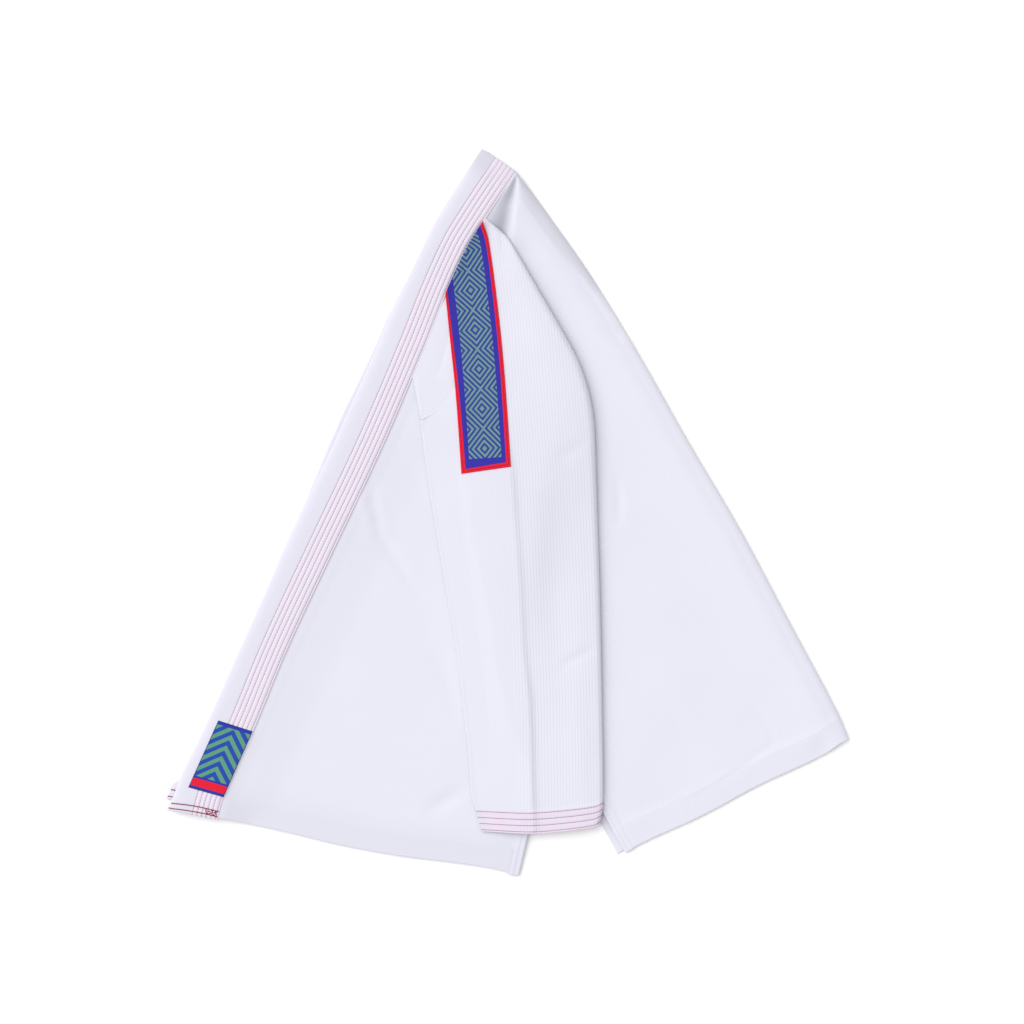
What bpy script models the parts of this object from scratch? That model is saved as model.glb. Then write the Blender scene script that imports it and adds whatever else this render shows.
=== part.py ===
"""Jiu-jitsu jacket folded in half along its centre back and laid flat, near side up.

X runs to the right and Y up as one looks down on it; +Z is up from the surface that it lies on.
The lapel is the left edge, the centre-back fold the right edge, and the near sleeve lies down
the middle. Tables and sizes are in millimetres; the objects are in metres.
"""

import math

import bmesh
import bpy
from mathutils import Vector
from mathutils.bvhtree import BVHTree

MM = 0.001
COLLECTION = "jiu_jitsu_jacket"

# Cloth and the stack it makes
WALL = 2.0            # one layer of the jacket's woven cotton
SEAM_GAP = 0.35       # between two pieces, side by side or one on the other
BODY_LOFT = 3.2       # far layers under the near front and back
HEM_LAYER = 2.2       # the far hems, one layer thick
HEM_FILL = 2.6        # more than that at the centre-back fold, over the edge that turns under
HEM_TURN = 0.7        # a turned hem is this much thicker
HEM_WIDTH = 26.0
HEM_INSET = 2.2       # the far hems lie this far inside the near ones
EDGE_LIFT = 4.0       # the far layers stand higher beside the lapel and the fold
COLLAR_SPREAD = 62.0
FOLD_SPREAD = 85.0
SLEEVE_LIFT = 5.0     # cloth bunched under the sleeve
NECK_DIP = 2.6        # hollow beside the neck seam

# Lapel
BAND = 6.8            # its thickness
BAND_GAP = 0.35
LAPEL_GAP = 0.6       # from its inner edge to the pieces sewn to it
SKIRT = 3.1           # what the back panel's turned edge needs under the far layers
FOLD_RADIUS = 4.7     # centre-back fold
FOLD_ARC = (60, 25, -10, -45, -90)   # degrees, from its top round to the floor
TURN_UNDER = 8.0      # how far the back runs on under the fold

# Shoulder, beside the lapel and at the armhole
SHOULDER_LOW = 10.0
SHOULDER_HIGH = 12.2

# Sleeve
SLEEVE_WALL = 2.0
SLEEVE_ROWS = 28      # sections down the sleeve
ARMHOLE_ROWS = 10     # of them beside the armhole seam
HOLLOW_FROM = 0.40    # share of the sleeve's length where its hollow begins

PATCH_THICKNESS = 1.0
LABEL_THICKNESS = 0.7

# Outlines, as (x, y), from the neck down
COLLAR_INNER = (
    (7.7, 385.8), (-9.5, 360.0), (-27.6, 332.4), (-46.6, 301.3), (-70.2, 249.6), (-95.5, 186.3),
    (-144.9, 71.3), (-204.7, -55.2), (-253.0, -158.7), (-291.4, -251.3), (-325.5, -327.3),
    (-333.0, -353.5),
)
SIDE_SEAM = (
    (-21.4, 340.7), (-8.0, 270.0), (-1.0, 200.0), (13.8, 71.3), (36.8, -124.0), (51.8, -245.0),
)
FRONT_VENT = ((51.8, -245.0), (38.0, -306.0), (23.7, -369.2), (12.7, -418.0))
BACK_VENT = ((51.8, -245.0), (80.0, -294.0), (110.0, -347.0), (135.5, -392.5))
FAR_FRONT_VENT = ((51.8, -245.0), (36.8, -306.0), (22.3, -369.2), (11.0, -415.6))
FAR_BACK_VENT = ((51.8, -245.0), (74.0, -297.0), (100.5, -346.0), (125.8, -393.5))
CENTRE_BACK = (
    (12.9, 387.2), (20.7, 376.1), (46.0, 341.6), (94.3, 272.6), (147.2, 186.3), (205.9, 82.8),
    (266.8, -20.7), (322.0, -124.2), (377.2, -227.7), (392.0, -261.5),
)
FRONT_HEM = (
    (-333.0, -353.5), (-254.2, -368.0), (-192.1, -383.0), (-121.9, -395.6), (-48.3, -404.8),
    (-5.1, -412.6), (3.5, -417.6), (12.7, -418.0),
)
BACK_HEM = (
    (135.5, -392.5), (151.8, -381.8), (224.3, -348.5), (288.7, -314.0), (362.3, -279.5),
    (392.0, -261.5),
)

# Top of the front, folded over at the armhole
SHOULDER_FOLD = ((-108.6, 150.0), (-104.0, 127.0), (-100.8, 107.0))
ARMHOLE = (
    (-54.0, 283.5), (-49.5, 244.0), (-48.3, 198.0), (-54.0, 160.0), (-62.0, 136.0), (-69.0, 125.4),
    (-81.7, 113.9), (-100.0, 104.7),
)
SLEEVE_LEFT = (
    (-100.0, 104.7), (-87.4, 13.8), (-71.3, -85.1), (-63.3, -131.1), (-55.2, -186.3),
    (-49.5, -239.2), (-44.9, -280.6), (-42.0, -324.3), (-36.5, -343.0), (-29.9, -366.9),
)
SLEEVE_RIGHT = (
    (-25.3, 337.0), (-2.3, 317.4), (8.0, 302.5), (38.0, 250.7), (75.9, 184.0), (87.4, 156.4),
    (95.5, 126.5), (99.5, 95.0), (101.2, 47.2), (105.8, -101.2), (108.1, -216.2), (109.3, -334.7),
    (105.8, -357.5),
)
CUFF = ((-29.9, -366.9), (25.3, -369.2), (59.8, -366.9), (97.0, -361.8), (105.8, -357.5))

PATCH_LEFT = ((-71.6, 247.3), (-66.7, 199.0), (-60.3, 138.0), (-53.5, 43.7))
PATCH_RIGHT = ((-28.2, 331.4), (-21.9, 310.5), (-10.4, 224.3), (-3.5, 153.0), (3.5, 51.8))
PATCH_FOOT = ((-53.5, 43.7), (3.5, 51.8))
LABEL_CORNERS = ((-332.4, -239.2), (-293.1, -251.8), (-326.5, -327.3), (-366.9, -315.9))

# Lapel: share of its length from the neck, width, and how far the far half shows past the near one
LAPEL_FORM = (
    (0.00, 48.8, 0.0), (0.08, 48.5, 0.0), (0.15, 47.5, 0.0), (0.28, 52.0, 2.4), (0.42, 53.5, 5.0),
    (0.58, 53.0, 1.0), (0.72, 50.6, 0.0), (0.90, 53.5, 0.0), (0.97, 54.5, 7.5), (1.00, 57.5, 9.0),
)
FAR_END = 0.978       # the far lapel stops short of the near one
VENT_FROM = 0.777     # share of a panel's side edge where its vent begins

# Heights where the pieces sewn to the lapel begin and end
NECK_FOOT = 339.3
LAPEL_FOOT = -351.5
FRONT_TOP = 150.3
SHOULDER_FROM, SHOULDER_TO = 283.3, 151.8
SLEEVE_FROM, SLEEVE_TO = 284.0, 336.7
PATCH_FROM, PATCH_TO = 247.5, 331.4

# Sleeve: share of its length, where its ridge lies across it, and the tops of left, ridge, right
SLEEVE_FORM = (
    (0.00, 0.35, 10.4, 10.9, 10.4), (0.12, 0.36, 11.6, 13.2, 12.6), (0.25, 0.36, 12.4, 16.0, 14.4),
    (0.36, 0.42, 12.2, 18.0, 15.0), (0.45, 0.49, 11.6, 19.0, 15.2), (0.72, 0.46, 11.4, 19.0, 15.0),
    (1.00, 0.44, 11.4, 17.4, 14.8),
)


def ease(share):
    """Smooth step from 0 to 1."""
    share = min(max(share, 0.0), 1.0)
    return share * share * (3.0 - 2.0 * share)


def mix(first, second, share):
    """Straight mix of two numbers or vectors."""
    return first + (second - first) * share


def look_up(table, at):
    """Row of a table whose first column rises, eased between its rows."""
    for lower, upper in zip(table, table[1:]):
        if at <= upper[0]:
            share = ease((at - lower[0]) / (upper[0] - lower[0]))
            return [mix(a, b, share) for a, b in zip(lower[1:], upper[1:])]
    return list(table[-1][1:])


class Line:
    """Smooth plan curve through a table of points, read by its share of length."""

    def __init__(self, points):
        self.points = [Vector((x, y)) for x, y in points]
        self.ends = [0.0]
        for first, second in zip(self.points, self.points[1:]):
            self.ends.append(self.ends[-1] + (second - first).length)

    def at(self, share):
        """Point at a share of the length, on a Catmull-Rom curve."""
        length = min(max(share, 0.0), 1.0) * self.ends[-1]
        step = 0
        while step < len(self.points) - 2 and length > self.ends[step + 1]:
            step += 1
        part = (length - self.ends[step]) / (self.ends[step + 1] - self.ends[step])
        return self.hermite(step, part)

    def hermite(self, step, part):
        """Point on one stretch, with slopes shared between neighbours."""
        first, second = self.points[step], self.points[step + 1]
        span = self.ends[step + 1] - self.ends[step]
        start = self.slope(step) * span
        end = self.slope(step + 1) * span
        square = part * part
        cube = square * part
        return (first * (2 * cube - 3 * square + 1) + start * (cube - 2 * square + part)
                + second * (3 * square - 2 * cube) + end * (cube - square))

    def slope(self, index):
        """Direction of the curve at one of its points."""
        low = max(index - 1, 0)
        high = min(index + 1, len(self.points) - 1)
        return (self.points[high] - self.points[low]) / (self.ends[high] - self.ends[low])

    def side(self, share):
        """Unit vector to the left hand of someone who walks down the curve."""
        step = 0.004
        along = (self.at(min(share + step, 1.0)) - self.at(max(share - step, 0.0))).normalized()
        return Vector((-along.y, along.x))

    def distance(self, x, y):
        """Shortest plan distance to the straight runs between the points."""
        here = Vector((x, y))
        best = 1e9
        for first, second in zip(self.points, self.points[1:]):
            run = second - first
            share = min(max((here - first).dot(run) / run.length_squared, 0.0), 1.0)
            best = min(best, (here - first - run * share).length)
        return best

    def share_at(self, y):
        """Share of its length where a curve that runs down crosses a height."""
        low, high = 0.0, 1.0
        for _ in range(30):
            middle = (low + high) / 2.0
            if self.at(middle).y > y:
                low = middle
            else:
                high = middle
        return low

    def x_at(self, y):
        """X where a curve that runs down crosses a height."""
        if y >= self.points[0].y:
            return self.points[0].x
        for first, second in zip(self.points, self.points[1:]):
            if y >= second.y:
                return mix(first.x, second.x, (first.y - y) / (first.y - second.y))
        return self.points[-1].x


class Chain:
    """Two curves end to end, the first taking a given share."""

    def __init__(self, first, second, share):
        self.first, self.second, self.share = first, second, share

    def at(self, share):
        """Point at a share of the chain."""
        if share <= self.share:
            return self.first.at(share / self.share)
        return self.second.at((share - self.share) / (1.0 - self.share))


class Offset:
    """A curve moved sideways, and cut to a stretch."""

    def __init__(self, line, distance, start=0.0, end=1.0):
        self.line, self.distance, self.start, self.end = line, distance, start, end

    def at(self, share):
        """Point at a share of the stretch."""
        share = mix(self.start, self.end, share)
        return self.line.at(share) + self.line.side(share) * self.distance


class Straight:
    """Straight plan line between two points."""

    def __init__(self, first, second):
        self.first, self.second = Vector(first), Vector(second)

    def at(self, share):
        """Point at a share of the length."""
        return mix(self.first, self.second, share)


LAPEL = Line(COLLAR_INNER)
FOLD = Line(CENTRE_BACK)
LEFT_OF_SLEEVE = Line(((-60.0, 300.0), (-100.0, 104.7)) + SLEEVE_LEFT[1:])
RIGHT_OF_SLEEVE = Line(SLEEVE_RIGHT)


def beside_lapel(first, last):
    """Edge of a piece sewn to the lapel, between two heights."""
    return Offset(LAPEL, LAPEL_GAP, LAPEL.share_at(first), LAPEL.share_at(last))


def even(count, *extra):
    """Shares from 0 to 1 in equal steps, with a few more put in."""
    return sorted([step / count for step in range(count + 1)] + list(extra))


def plan_grid(left, right, top, foot, across, along):
    """Plan points of a panel whose four edges are given curves."""
    rows = []
    for v in along:
        row = []
        for u in across:
            sides = mix(left.at(v), right.at(v), u)
            ends = mix(top.at(u), foot.at(u), v)
            corners = mix(mix(left.at(0), right.at(0), u), mix(left.at(1), right.at(1), u), v)
            row.append(sides + ends - corners)
        rows.append(row)
    return rows


def neck_dip(x, y):
    """Hollow to the left of the crease that runs down from the neck."""
    crease_x = mix(-3.5, 9.2, (y - 323.2) / 60.9)
    return NECK_DIP * ease((crease_x - x) / 7.0) * ease((y - 300.0) / 20.0)


def bed_height(x, y):
    """Top of the far layers: raised beside lapel and fold, bunched up under the sleeve."""
    near_lapel = 1.0 - ease(LAPEL.distance(x, y) / COLLAR_SPREAD)
    near_fold = 1.0 - ease(FOLD.distance(x, y) / FOLD_SPREAD)
    lift = 1.0 - (1.0 - near_lapel) * (1.0 - near_fold)
    left, right = LEFT_OF_SLEEVE.x_at(y), RIGHT_OF_SLEEVE.x_at(y)
    across = (x - left) / (right - left)
    bunch = ease(min(across, 1.0 - across) * 2.2)
    bunch *= ease((330.0 - y) / 200.0) * ease((y + 330.0) / 150.0)
    return BODY_LOFT + EDGE_LIFT * lift + SLEEVE_LIFT * bunch - neck_dip(x, y)


def lifted(plan, height):
    """Plan grid given a height for each point."""
    return [[Vector((p.x, p.y, height(p.x, p.y))) for p in row] for row in plan]


def raised(grid, rise):
    """Grid moved up by a fixed height or by one that a function of x and y gives."""
    if not callable(rise):
        return [[p + Vector((0, 0, rise)) for p in row] for row in grid]
    return [[p + Vector((0, 0, rise(p.x, p.y))) for p in row] for row in grid]


def surface_of(objects):
    """Search tree of the objects' faces, in millimetres."""
    points, faces = [], []
    for piece in objects:
        start = len(points)
        points += [v.co / MM for v in piece.data.vertices]
        faces += [[start + i for i in face.vertices] for face in piece.data.polygons]
    return BVHTree.FromPolygons(points, faces)


def height_below(tree, point):
    """Height of the surface at a plan point, or None past its edge."""
    hit = tree.ray_cast(Vector((point.x, point.y, 200.0)), Vector((0, 0, -1)))[0]
    return hit.z if hit else None


def settle(grid, objects, gap=SEAM_GAP, tries=3, checks=7):
    """Raise a grid's points until its cells clear what lies under them."""
    tree = surface_of(objects)
    for _ in range(tries):
        rise = [[0.0] * len(row) for row in grid]
        for i in range(len(grid) - 1):
            for j in range(len(grid[i]) - 1):
                corners = ((i, j), (i, j + 1), (i + 1, j), (i + 1, j + 1))
                need = cell_shortfall(tree, [grid[a][b] for a, b in corners], gap, checks)
                for a, b in corners:
                    rise[a][b] = max(rise[a][b], need)
        for row, rises in zip(grid, rise):
            row[:] = [p + Vector((0, 0, up)) for p, up in zip(row, rises)]
    return grid


def cell_shortfall(tree, corners, gap, checks):
    """How far one cell of a grid must rise to clear the surface under it."""
    need = 0.0
    for a in range(checks + 1):
        for b in range(checks + 1):
            top = mix(corners[0], corners[1], b / checks)
            foot = mix(corners[2], corners[3], b / checks)
            point = mix(top, foot, a / checks)
            under = height_below(tree, point)
            if under is not None:
                need = max(need, under + gap - point.z)
    return need


def fabric(name, colour, roughness=0.9):
    """Plain cloth finish."""
    finish = bpy.data.materials.get(name) or bpy.data.materials.new(name)
    finish.use_nodes = True
    shader = finish.node_tree.nodes["Principled BSDF"]
    shader.inputs["Base Color"].default_value = (*colour, 1.0)
    shader.inputs["Roughness"].default_value = roughness
    return finish


def add_object(name, mesh, finish):
    """Turn a bmesh in millimetres into a finished object of the jacket."""
    bmesh.ops.recalc_face_normals(mesh, faces=mesh.faces[:])
    bmesh.ops.triangulate(mesh, faces=mesh.faces[:])
    for vertex in mesh.verts:
        vertex.co *= MM
    data = bpy.data.meshes.new(name)
    mesh.to_mesh(data)
    mesh.free()
    data.materials.append(finish)
    piece = bpy.data.objects.new(name, data)
    bpy.data.collections[COLLECTION].objects.link(piece)
    return piece


def wall(name, blocks, finish):
    """One closed solid from (upper grid, lower grid) blocks, which join where they share points."""
    mesh = bmesh.new()
    known, under = {}, {}

    def vertex(point):
        key = tuple(round(value, 3) for value in point)
        if key not in known:
            known[key] = mesh.verts.new(point)
        return known[key]

    uppers = []
    for upper, lower in blocks:
        high = [[vertex(p) for p in row] for row in upper]
        low = [[vertex(p) for p in row] for row in lower]
        for above, below in zip(high, low):
            under.update(zip(above, below))
        for i in range(len(high) - 1):
            for j in range(len(high[i]) - 1):
                ring = ((i, j), (i, j + 1), (i + 1, j + 1), (i + 1, j))
                uppers.append(mesh.faces.new([high[a][b] for a, b in ring]))
                mesh.faces.new([low[a][b] for a, b in reversed(ring)])
    rim = [edge for edge in {e for face in uppers for e in face.edges} if len(edge.link_faces) == 1]
    for edge in rim:
        first, second = edge.verts
        mesh.faces.new((first, second, under[second], under[first]))
    return add_object(name, mesh, finish)


def tube(name, outer, inner, finish):
    """Pocket of cloth: outer rings closed at the first, inner rings from where the hollow starts."""
    mesh = bmesh.new()
    rings = []
    for stack in (outer, inner):
        rings.append([[mesh.verts.new(p) for p in ring] for ring in stack])
    for stack in rings:
        mesh.faces.new(stack[0])
        for first, second in zip(stack, stack[1:]):
            bridge(mesh, first, second)
    bridge(mesh, rings[0][-1], rings[1][-1])
    return add_object(name, mesh, finish)


def bridge(mesh, first, second):
    """Band of faces between two rings of equally many points."""
    count = len(first)
    for k in range(count):
        n = (k + 1) % count
        mesh.faces.new((first[k], first[n], second[n], second[k]))


def far_layers(finish):
    """Far front, far back and far sleeve as one solid, one layer thick at its hems."""
    left = beside_lapel(NECK_FOOT, LAPEL_FOOT)
    inside_fold = Offset(FOLD, -FOLD_RADIUS, 0.074, 0.996)
    start = mix(left.at(0), inside_fold.at(0), 0.45)
    middle = seam_from(start)
    along = even(26, VENT_FROM, 0.988)
    front_side = Chain(middle, Line(FAR_FRONT_VENT), VENT_FROM)
    back_side = Chain(middle, Line(FAR_BACK_VENT), VENT_FROM)
    front = plan_grid(left, front_side, Straight(left.at(0), start),
                      hem_between(FRONT_HEM, left, front_side, HEM_INSET), even(8, 0.96), along)
    back = plan_grid(back_side, inside_fold, Straight(start, inside_fold.at(0)),
                     hem_between(BACK_HEM, back_side, inside_fold, HEM_INSET),
                     even(8, 0.035, 0.92, 0.965), along)
    shared = along.index(VENT_FROM) + 1
    for row in range(shared):
        back[row][0] = front[row][-1]
    blocks = []
    for plan, vent_column in ((front, len(front[0]) - 1), (back, 0)):
        upper = lifted(plan, bed_height)
        for point in upper[-1] + [row[vent_column] for row in upper[shared:]]:
            beside_fold = 1.0 - ease(FOLD.distance(point.x, point.y) / 45.0)
            point.z = HEM_LAYER + HEM_FILL * beside_fold
        blocks.append((upper, lifted(plan, lambda x, y: 0.0)))
    for row in blocks[1][1]:
        clear_turned_edge(row)
    return wall("far_layers", blocks, finish)


def seam_from(start):
    """Side seam from a given first point."""
    return Line(((start.x, start.y),) + SIDE_SEAM[1:])


def hem_between(table, left, right, inset=0.0):
    """Hem curve whose two ends are those of a panel's sides, drawn in by an inset."""
    inner = tuple((x, y + inset) for x, y in table[1:-1])
    first, last = left.at(1), right.at(1)
    return Line(((first.x, first.y),) + inner + ((last.x, last.y),))


def clear_turned_edge(row):
    """Raise the underside of the far layers over the edge that the back turns under."""
    for point in reversed(row):
        point.z = SKIRT
        if FOLD.distance(point.x, point.y) > FOLD_RADIUS + TURN_UNDER + 0.8:
            break


def hem_turn(line):
    """Function that thickens a panel along a hem."""
    return lambda x, y: WALL + HEM_TURN * (1.0 - ease((line.distance(x, y) - HEM_WIDTH) / 4.0))


def front_panel(finish, under):
    """Near front, from where it comes out from under the shoulder to its hem and vent."""
    left = beside_lapel(FRONT_TOP, LAPEL_FOOT)
    right = Chain(Line(((4.0, 136.0),) + SIDE_SEAM[3:]), Line(FRONT_VENT), 0.68)
    hem = hem_between(FRONT_HEM, left, right)
    across = even(13, 0.97)
    plan = plan_grid(left, right, Straight(left.at(0), right.at(0)), hem, across, even(24, 0.985))
    for row in plan:
        row[-1] += Vector((-SEAM_GAP, 0))

    def underside(x, y):
        return bed_height(x, y) + SEAM_GAP - edge_drop(x, y, hem)

    lower = settle(lifted(plan, underside), [under])
    return wall("front_panel", [(raised(lower, hem_turn(hem)), lower)], finish)


def edge_drop(x, y, hem):
    """How far a panel comes down to its hem."""
    near = 1.0 - ease(hem.distance(x, y) / 30.0)
    return near * (bed_height(x, y) - HEM_LAYER) * ease((LAPEL.distance(x, y) - 4.0) / 40.0)


class FlatEdge:
    """Where the flat of the back ends and its rounding at the centre-back fold begins."""

    def __init__(self, left):
        self.left = left

    def radius(self, share):
        """How far the rounding reaches, less where the panel is narrow."""
        width = (FOLD.at(share) - self.left.at(share)).length
        return max(2.6, min(FOLD_RADIUS, width * 0.34))

    def room(self, share):
        """How far the cloth can run on under the fold."""
        width = (FOLD.at(share) - self.left.at(share)).length
        return max(1.0, min(TURN_UNDER, width - self.radius(share) - 5.0))

    def at(self, share):
        """Point on the edge of the flat."""
        return FOLD.at(share) - FOLD.side(share) * self.radius(share)


def back_panel(finish, under):
    """Near half of the back, which rounds under at the centre-back fold."""
    neck = beside_lapel(COLLAR_INNER[0][1], NECK_FOOT)
    neck_end = LAPEL.share_at(NECK_FOOT)
    left = Chain(neck, Chain(seam_from(neck.at(1)), Line(BACK_VENT), VENT_FROM), neck_end)
    right = FlatEdge(left)
    hem = hem_between(BACK_HEM, left, right)
    along = even(28, 0.012, 0.03, neck_end, 0.988)
    plan = plan_grid(left, right, Straight(left.at(0), right.at(0)), hem, even(11, 0.97), along)

    def underside(x, y):
        drop = edge_drop(x, y, hem) * ease((FOLD.distance(x, y) - 5.0) / 30.0)
        return bed_height(x, y) + SEAM_GAP - drop

    lower = settle(lifted(plan, underside), [under])
    upper = raised(lower, hem_turn(hem))
    for v, top_row, low_row in zip(along, upper, lower):
        faces = turned_edge(top_row[-1], low_row[-1], FOLD.side(v).to_3d(), right.radius(v), right.room(v))
        top_row += faces[0]
        low_row += faces[1]
    return wall("back_panel", [(upper, lower)], finish)


def turned_edge(top, bottom, out, radius, room):
    """Points of a panel's outer and inner face round its folded edge, and on under it."""
    centre = Vector((top.x, top.y, top.z / 2.0))
    wall_here = top.z - bottom.z
    faces = []
    for reach, rise in ((radius, centre.z), (radius - wall_here, centre.z - wall_here)):
        points = []
        for angle in (math.radians(degrees) for degrees in FOLD_ARC):
            up = Vector((0, 0, rise * math.sin(angle)))
            points.append(centre + out * (reach * math.cos(angle)) + up)
        faces.append(points + [points[-1] - out * room])
    return faces


def front_shoulder(finish, under):
    """Top of the front, folded over so that it lies on the front panel, down to the armhole."""
    left = Chain(beside_lapel(SHOULDER_FROM, SHOULDER_TO), Line(SHOULDER_FOLD), 0.8)
    seam = Offset(Line(ARMHOLE), -SEAM_GAP)
    along = even(ARMHOLE_ROWS, 0.06, 0.985)[1:-1]
    across = (0.0, 0.06, 0.2, 0.4, 0.6, 0.8, 1.0)
    plan = plan_grid(left, seam, Straight(left.at(0), seam.at(0)), Straight(left.at(1), seam.at(1)),
                     across, along)
    lower = []
    for v, row in zip(along, plan):
        steep = mix(1.4, 9.0, ease((v - 0.7) / 0.1))
        heights = [mix(SHOULDER_LOW, SHOULDER_HIGH, ease(u * steep)) for u in across]
        lower.append([Vector((p.x, p.y, z - WALL)) for p, z in zip(row, heights)])
    lower = settle(lower, under)
    return wall("front_shoulder", [(raised(lower, WALL), lower)], finish)


def sleeve(finish, under):
    """Near sleeve: a flattened tube, ridged down its length, open at the cuff."""
    left = Chain(Line(ARMHOLE), Line(SLEEVE_LEFT), ARMHOLE_ROWS / SLEEVE_ROWS)
    across = (0.0, 0.06, 0.14, 0.24, 0.35, 0.46, 0.58, 0.7, 0.82, 0.93, 1.0)
    along = even(SLEEVE_ROWS, 0.985)
    plan = plan_grid(left, Line(SLEEVE_RIGHT), beside_lapel(SLEEVE_FROM, SLEEVE_TO), Line(CUFF),
                     across, along)
    lower = settle(lifted(plan, lambda x, y: bed_height(x, y) + SEAM_GAP), under)
    outer, inner = [], []
    for v, row in zip(along, lower):
        tops = [sleeve_top(v, u) for u in across]
        outer.append(sleeve_ring(row, tops, 0.0))
        if v >= HOLLOW_FROM:
            inner.append(sleeve_ring(row, tops, SLEEVE_WALL))
    return tube("sleeve", outer, inner, finish)


def sleeve_top(v, u):
    """Height of the sleeve's top at a share down it and a share across it."""
    ridge_at, left_z, ridge_z, right_z = look_up(SLEEVE_FORM, v)
    if u < ridge_at:
        return mix(left_z, ridge_z, ease(0.12 + 0.76 * u / ridge_at))
    return mix(ridge_z, right_z, ease((u - ridge_at) / (1.0 - ridge_at)))


def sleeve_ring(row, tops, inset):
    """Section across the sleeve, or across its hollow when inset by the wall."""
    across = (row[-1] - row[0]).to_2d().normalized().to_3d()
    ring = [Vector((p.x, p.y, z - inset)) for p, z in zip(row[1:-1], tops[1:-1])]
    ring += fold_arc(row[-1], tops[-1], across, inset, (70, 25, -25, -70))
    ring += [Vector((p.x, p.y, p.z + inset)) for p in reversed(row[1:-1])]
    ring += fold_arc(row[0], tops[0], -across, inset, (-70, -25, 25, 70))
    return ring


def fold_arc(end, top, outward, inset, degrees):
    """Points round a folded edge, or round the hollow inside it."""
    radius = (top - end.z) / 2.0
    centre = Vector((end.x, end.y, end.z + radius)) - outward * radius
    points = []
    for angle in (math.radians(d) for d in degrees):
        reach = (radius - inset) * math.cos(angle)
        points.append(centre + outward * reach + Vector((0, 0, (radius - inset) * math.sin(angle))))
    return points


def collar(finish):
    """Lapel band: near half on top, turned over at the centre of the neck, far half on the floor."""
    along = even(24, 0.06, 0.1, 0.94, 0.975)
    rings = [band_ring(share, 0.0) for share in reversed(along)]
    rings += [band_ring(0.0, math.pi * step / 6.0) for step in range(1, 6)]
    rings += [band_ring(FAR_END * share, math.pi) for share in along]
    mesh = bmesh.new()
    loops = [[mesh.verts.new(p) for p in points] for points in rings]
    for first, second in zip(loops, loops[1:]):
        bridge(mesh, first, second)
    mesh.faces.new(loops[0])
    mesh.faces.new(loops[-1])
    return add_object("collar", mesh, finish)


def band_ring(share, turn):
    """Section of the lapel at a share of its length, turned over by an angle at the neck."""
    base = LAPEL.at(share).to_3d()
    out = -LAPEL.side(share).to_3d()
    ahead = Vector((out.y, -out.x, 0.0))
    middle = BAND + BAND_GAP / 2.0
    width, shown = look_up(LAPEL_FORM, share)
    if turn == math.pi:
        width += shown
    points = []
    for across, height in band_section(width):
        point = base + out * across + ahead * height * math.sin(turn)
        point.z = middle + height * math.cos(turn)
        points.append(point)
    return points


def band_section(width):
    """Outline of the band as (distance from its inner edge, height over the fold's axis)."""
    low = BAND_GAP / 2.0
    high = low + BAND
    return (
        (0.0, low + 1.2), (0.0, high - 2.2), (1.6, high - 0.6), (5.0, high), (width * 0.35, high),
        (width * 0.65, high), (width - 6.0, high - 0.2), (width - 1.8, high - 1.7),
        (width, (low + high) / 2.0), (width - 1.8, low + 1.4), (width - 5.0, low),
        (width * 0.5, low), (1.2, low),
    )


def applied(name, plan, thickness, finish, under, rest):
    """Thin piece sewn on: its points are those of what it lies on, moved out."""
    tree = surface_of(under)
    grid = []
    for row in plan:
        heights = [height_below(tree, p) or rest for p in row]
        grid.append([Vector((p.x, p.y, z + SEAM_GAP)) for p, z in zip(row, heights)])
    lower = settle(grid, under)
    return wall(name, [(raised(lower, thickness), lower)], finish)


def shoulder_patch(finish, under):
    """Long patch over the armhole seam, its top cut off by the lapel."""
    plan = plan_grid(Line(PATCH_LEFT), Line(PATCH_RIGHT), beside_lapel(PATCH_FROM, PATCH_TO),
                     Straight(*PATCH_FOOT), even(5), even(16))
    return applied("shoulder_patch", plan, PATCH_THICKNESS, finish, under, 10.4)


def lapel_label(finish, under):
    """Woven label near the lapel's lower end."""
    top_left, top_right, low_right, low_left = LABEL_CORNERS
    plan = plan_grid(Straight(top_left, low_left), Straight(top_right, low_right),
                     Straight(top_left, top_right), Straight(low_left, low_right), even(4), even(6))
    return applied("lapel_label", plan, LABEL_THICKNESS, finish, under, 14.0)


def main():
    """Build the jacket from the floor up."""
    for thing in list(bpy.data.objects):
        bpy.data.objects.remove(thing, do_unlink=True)
    bpy.context.scene.collection.children.link(bpy.data.collections.new(COLLECTION))
    cotton = fabric("white_cotton", (0.80, 0.80, 0.88))
    band = fabric("lapel_cotton", (0.78, 0.77, 0.84))
    woven = fabric("patch_weave", (0.05, 0.06, 0.33), 0.75)
    far = far_layers(cotton)
    front = front_panel(cotton, far)
    back = back_panel(cotton, far)
    shoulder = front_shoulder(cotton, [far, front])
    arm = sleeve(cotton, [far, front, back])
    lapel = collar(band)
    shoulder_patch(woven, [shoulder, arm])
    lapel_label(fabric("label_weave", (0.03, 0.05, 0.42), 0.75), [lapel])


main()
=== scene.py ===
"""Looks of a jiu-jitsu jacket that is folded in half along its centre back and laid flat.

X runs to the right and Y up as one looks down on it, and Z is up from the surface that it lies
on. Tables and sizes are in millimetres; the meshes are in metres.
"""

from __future__ import annotations

import logging
import math
from dataclasses import dataclass
from enum import Enum
from typing import Sequence

import bmesh
import bpy
import numpy as np
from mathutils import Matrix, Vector
from mathutils.bvhtree import BVHTree


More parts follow.
